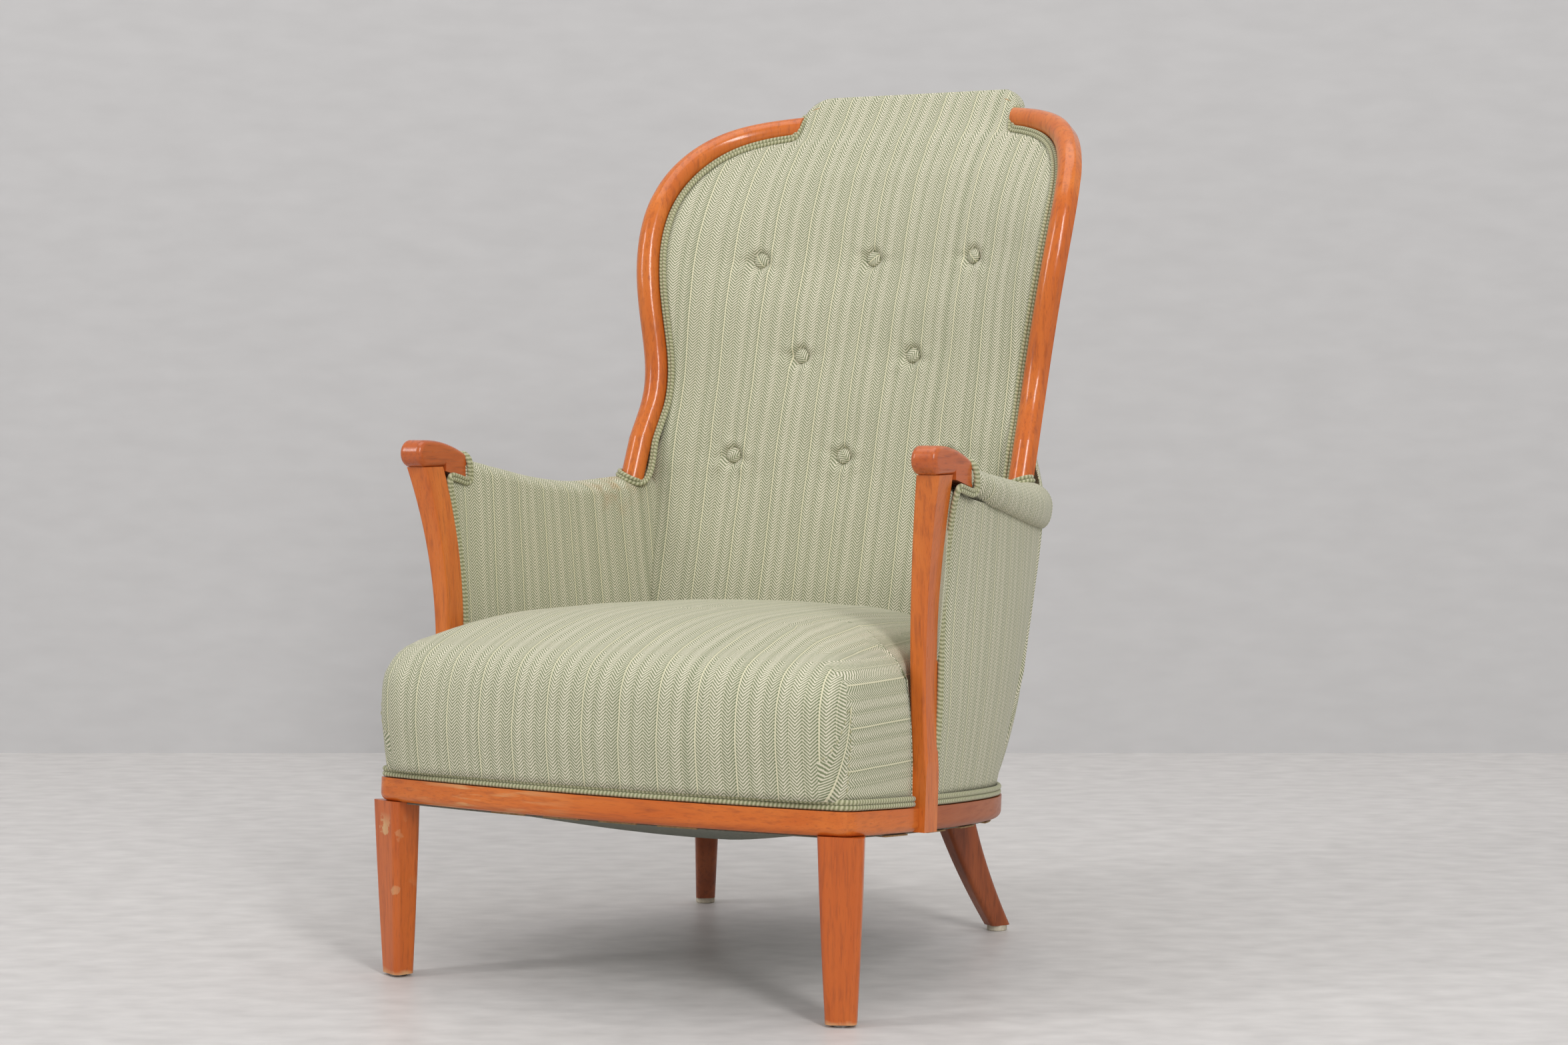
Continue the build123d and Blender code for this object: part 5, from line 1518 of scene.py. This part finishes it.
@dataclass
class ShowWood:
    """The lacquered frame: its CAD pieces with their finishes."""

    nodes: dict[str, bpy.types.Object]
    light: tuple = linear(214, 118, 46)
    middle: tuple = linear(196, 96, 31)
    dark: tuple = linear(138, 62, 26)

    def finish(self) -> None:
        """Give every wooden piece its own grain direction and tone, with painted shade on the rear legs and on the
        side rails behind the posts.
        """
        upright = (38.0, 38.0, 3.2)
        across = (3.2, 38.0, 38.0)
        along_y = (38.0, 3.2, 38.0)
        posts = Lacquer("post_lacquer", self.light, self.middle, self.dark, upright).material()
        frame = Lacquer("back_frame_lacquer", self.light, self.middle, self.dark, (30.0, 26.0, 5.0), 0.16).material()
        legs = Lacquer(
            "leg_lacquer", linear(206, 106, 39), linear(186, 86, 27), self.dark, upright, 0.3
        ).material(self.leg_wear)
        rail = Lacquer("rail_lacquer", self.light, self.middle, self.dark, across).material(self.rail_wear)
        # Painted shade: the rear legs get a darker copy of the lacquer for the shade under the seat.
        shaded_rear_legs = Lacquer(
            "rear_leg_shaded_lacquer", linear(156, 80, 38), linear(130, 62, 28), linear(84, 38, 18), upright, 0.3
        ).material()
        sides = Lacquer("side_lacquer", self.light, self.middle, self.dark, along_y).material(self.rear_shade)
        caps = Lacquer(
            "cap_lacquer", linear(202, 106, 52), linear(180, 86, 38), linear(120, 52, 24), along_y, 0.2
        ).material()
        chosen = (
            ("arm_post", posts), ("back_stile", frame), ("back_arch", frame), ("front_leg", legs),
            ("rear_leg", shaded_rear_legs), ("front_rail", rail), ("side_rail", sides), ("back_rail", sides),
            ("arm_cap", caps),
        )
        dress(self.nodes, chosen)

    @staticmethod
    def leg_wear(g: Graph, place: bpy.types.NodeSocket) -> list:
        """Pale toes and a few chips on the legs."""
        cut = g.add("ShaderNodeSeparateXYZ", Vector=place)
        rough = g.add("ShaderNodeTexNoise", Vector=place, Scale=70.0, Detail=3.0).outputs[0]
        toe = g.fit(g.math("ADD", cut.outputs[2], g.math("MULTIPLY", rough, 0.012)), 0.008, 0.014, 0.7, 0.0)
        chips = g.add("ShaderNodeTexNoise", Vector=place, Scale=45.0, Detail=4.0).outputs[0]
        left = g.fit(cut.outputs[0], -0.29, -0.25, 1.0, 0.0)
        high = g.math("ABSOLUTE", g.math("SUBTRACT", cut.outputs[2], 0.165))
        low = g.math("ABSOLUTE", g.math("SUBTRACT", cut.outputs[2], 0.095))
        bands = g.fit(g.math("MINIMUM", high, low), 0.006, 0.02, 1.0, 0.0)
        chip = g.math("MULTIPLY", g.math("MULTIPLY", g.fit(chips, 0.56, 0.6, 0.0, 0.9), left), bands)
        pale = linear(214, 178, 128)
        return [(toe, pale), (chip, pale)]

    @staticmethod
    def rear_shade(g: Graph, place: bpy.types.NodeSocket) -> list:
        """Painted shade: the side rails darker behind the posts."""
        cut = g.add("ShaderNodeSeparateXYZ", Vector=place)
        return [(g.fit(cut.outputs[1], -0.26, -0.19, 0.0, 0.62), linear(128, 68, 44))]

    @staticmethod
    def rail_wear(g: Graph, place: bpy.types.NodeSocket) -> list:
        """A worn stretch along the front rail."""
        stretch = g.add("ShaderNodeMapping", Vector=place, Scale=(14.0, 60.0, 160.0))
        scuffs = g.add("ShaderNodeTexNoise", Vector=stretch.outputs[0], Scale=1.0, Detail=4.0).outputs[0]
        cut = g.add("ShaderNodeSeparateXYZ", Vector=place)
        zone = g.fit(g.math("ABSOLUTE", g.math("ADD", cut.outputs[0], 0.13)), 0.03, 0.12, 1.0, 0.0)
        worn = g.math("MULTIPLY", g.fit(scuffs, 0.5, 0.62, 0.0, 0.65), zone)
        return [(worn, linear(216, 160, 104))]


@dataclass
class HiddenWork:
    """Finishes of the inner timber, webbing, springs and glides."""

    nodes: dict[str, bpy.types.Object]

    def finish(self) -> None:
        """Give the inner pieces their plain finishes."""
        timber = PlainFinish("inner_timber", linear(196, 164, 120), linear(170, 136, 94), 30, 0.75).material()
        jute = PlainFinish("jute", linear(178, 150, 108), linear(140, 114, 76), 260, 0.95).material()
        wire = PlainFinish("spring_wire", linear(120, 104, 88), linear(84, 72, 62), 90, 0.4, 1.0).material()
        felt = PlainFinish("glide_pad", linear(206, 196, 176), linear(168, 158, 138), 160, 0.9).material()
        nail = PlainFinish("nail_steel", linear(150, 146, 140), linear(104, 100, 96), 120, 0.35, 1.0).material()
        chosen = (
            ("corner_block", timber), ("crest_board", timber), ("arm_rail", timber), ("back_tack_rail", timber),
            ("frame_dowels", timber), ("seat_webbing", jute), ("back_webbing", jute), ("spring_hessian", jute),
            ("back_hessian", jute), ("seat_springs", wire), ("block_screws", wire), ("rear_glides", felt),
            ("front_glides", nail),
        )
        dress(self.nodes, chosen)


@dataclass
class Studio:
    """Pale room, soft lamps and the camera."""

    position: Vector = field(default_factory=lambda: Vector((1.6281, -3.0157, 0.6581)))
    yaw: float = math.radians(28.055)
    pitch: float = math.radians(-2.689)
    lens: float = 67.23
    wall_distance: float = 5.215
    half_width: float = 7
    floor_depth: float = 12
    floor_beyond: float = 8
    wall_height: float = 6
    aim: Vector = field(default_factory=lambda: Vector((0, 0, 0.55)))

    def camera(self) -> None:
        """Stand the camera where the chair was seen from."""
        data = bpy.data.cameras.new("camera")
        data.lens = self.lens
        data.sensor_width = 36
        data.clip_end = 60
        camera = bpy.data.objects.new("camera", data)
        camera.location = self.position
        camera.rotation_euler = (math.pi / 2 + self.pitch, 0, self.yaw)
        bpy.context.scene.collection.objects.link(camera)
        bpy.context.scene.camera = camera

    def room(self) -> None:
        """Lay the floor and stand the wall."""
        ahead = Vector((-math.sin(self.yaw), math.cos(self.yaw), 0))
        side = Vector((math.cos(self.yaw), math.sin(self.yaw), 0))
        far = Vector((self.position.x, self.position.y, 0)) + ahead * self.wall_distance
        left, right = far - side * self.half_width, far + side * self.half_width
        near, beyond = ahead * self.floor_depth, ahead * self.floor_beyond
        rise = Vector((0, 0, self.wall_height))
        lino = PlainFinish(
            "floor_lino", linear(213, 209, 206), linear(197, 193, 190), 34.0, 0.45,
            stretch=(1.8, 1.0, 1.0), turn=self.yaw,
        )
        paint = PlainFinish(
            "wall_paint", linear(198, 196, 195), linear(193, 191, 190), 30.0, 0.85,
            stretch=(3.0, 3.0, 1.0), turn=self.yaw, one_sided=True,
        )
        self.sheet("floor", [right + beyond, left + beyond, left - near, right - near], lino)
        self.sheet("wall", [left, right, right + rise, left + rise], paint)

    @staticmethod
    def sheet(name: str, corners: Row, finish: PlainFinish) -> None:
        """Lay one flat side of the room."""
        work = bmesh.new()
        work.faces.new([work.verts.new(corner) for corner in corners])
        item = bpy.data.objects.new(name, written(work, name))
        bpy.context.scene.collection.objects.link(item)
        item.data.materials.append(finish.material())

    def lamps(self) -> None:
        """Hang the soft lamps and set the room's light."""
        for name, place, size, power in (
            ("key_left", (-3.5, -4.2, 3.6), (0.8, 2.9), 84),
            ("key_right", (4.2, -3.5, 3.8), (1.0, 2.9), 172),
            ("top", (0.0, 0.2, 6.2), (5.0, 5.0), 132),
        ):
            data = bpy.data.lights.new(name, "AREA")
            data.shape = "RECTANGLE"
            data.size, data.size_y = size
            data.energy = power
            data.specular_factor = 0.6
            lamp = bpy.data.objects.new(name, data)
            lamp.location = place
            lamp.rotation_euler = (self.aim - Vector(place)).to_track_quat("-Z", "Y").to_euler()
            bpy.context.scene.collection.objects.link(lamp)
        world = bpy.data.worlds.new("room_light")
        world.use_nodes = True
        g = Graph(world.node_tree)
        sky = g.add("ShaderNodeBackground", Color=(0.95, 0.97, 1.0, 1.0), Strength=0.55)
        g.add("ShaderNodeOutputWorld", Surface=sky.outputs[0])
        bpy.context.scene.world = world
        bpy.context.scene.view_settings.view_transform = "Standard"


def main() -> None:
    """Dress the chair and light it."""
    logging.basicConfig(level=logging.INFO, format="%(name)s %(message)s")
    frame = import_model()
    cloth = StripedCloth().material("herringbone_stripe")
    cord = CordFinish().material()
    dust = PlainFinish("dust_lining", linear(126, 128, 116), linear(104, 108, 98), 240, 0.95).material()
    ShowWood(frame["nodes"]).finish()
    HiddenWork(frame["nodes"]).finish()
    seat = SeatCushion()
    seat.build(cloth)
    seat.sew(PlainFinish("dart_thread", linear(198, 192, 156), linear(166, 164, 128), 300, 0.9).material())
    back = InsideBack()
    back.build(cloth)
    back.build_buttons(cloth)
    panels = OutsidePanels()
    panels.outside_back(cloth)
    stain = Stain(spot(-268, 505, 543), 0.055, linear(172, 132, 88))
    arm_cloth = {Hand.RIGHT: cloth, Hand.LEFT: StripedCloth().material("herringbone_stripe_marked", stain)}
    fuller = {Hand.RIGHT: 7.0, Hand.LEFT: -1.0}
    for hand in Hand:
        PaddedArm(hand, fuller[hand]).build(arm_cloth[hand])
        panels.outside_arm(hand, cloth)
    trim = Trim()
    trim.seat_cord(cord)
    trim.back_cord(cord)
    trim.arm_cord(cord)
    Underside().build(dust)
    studio = Studio()
    studio.camera()
    studio.room()
    studio.lamps()


if __name__ == "__main__":
    main()
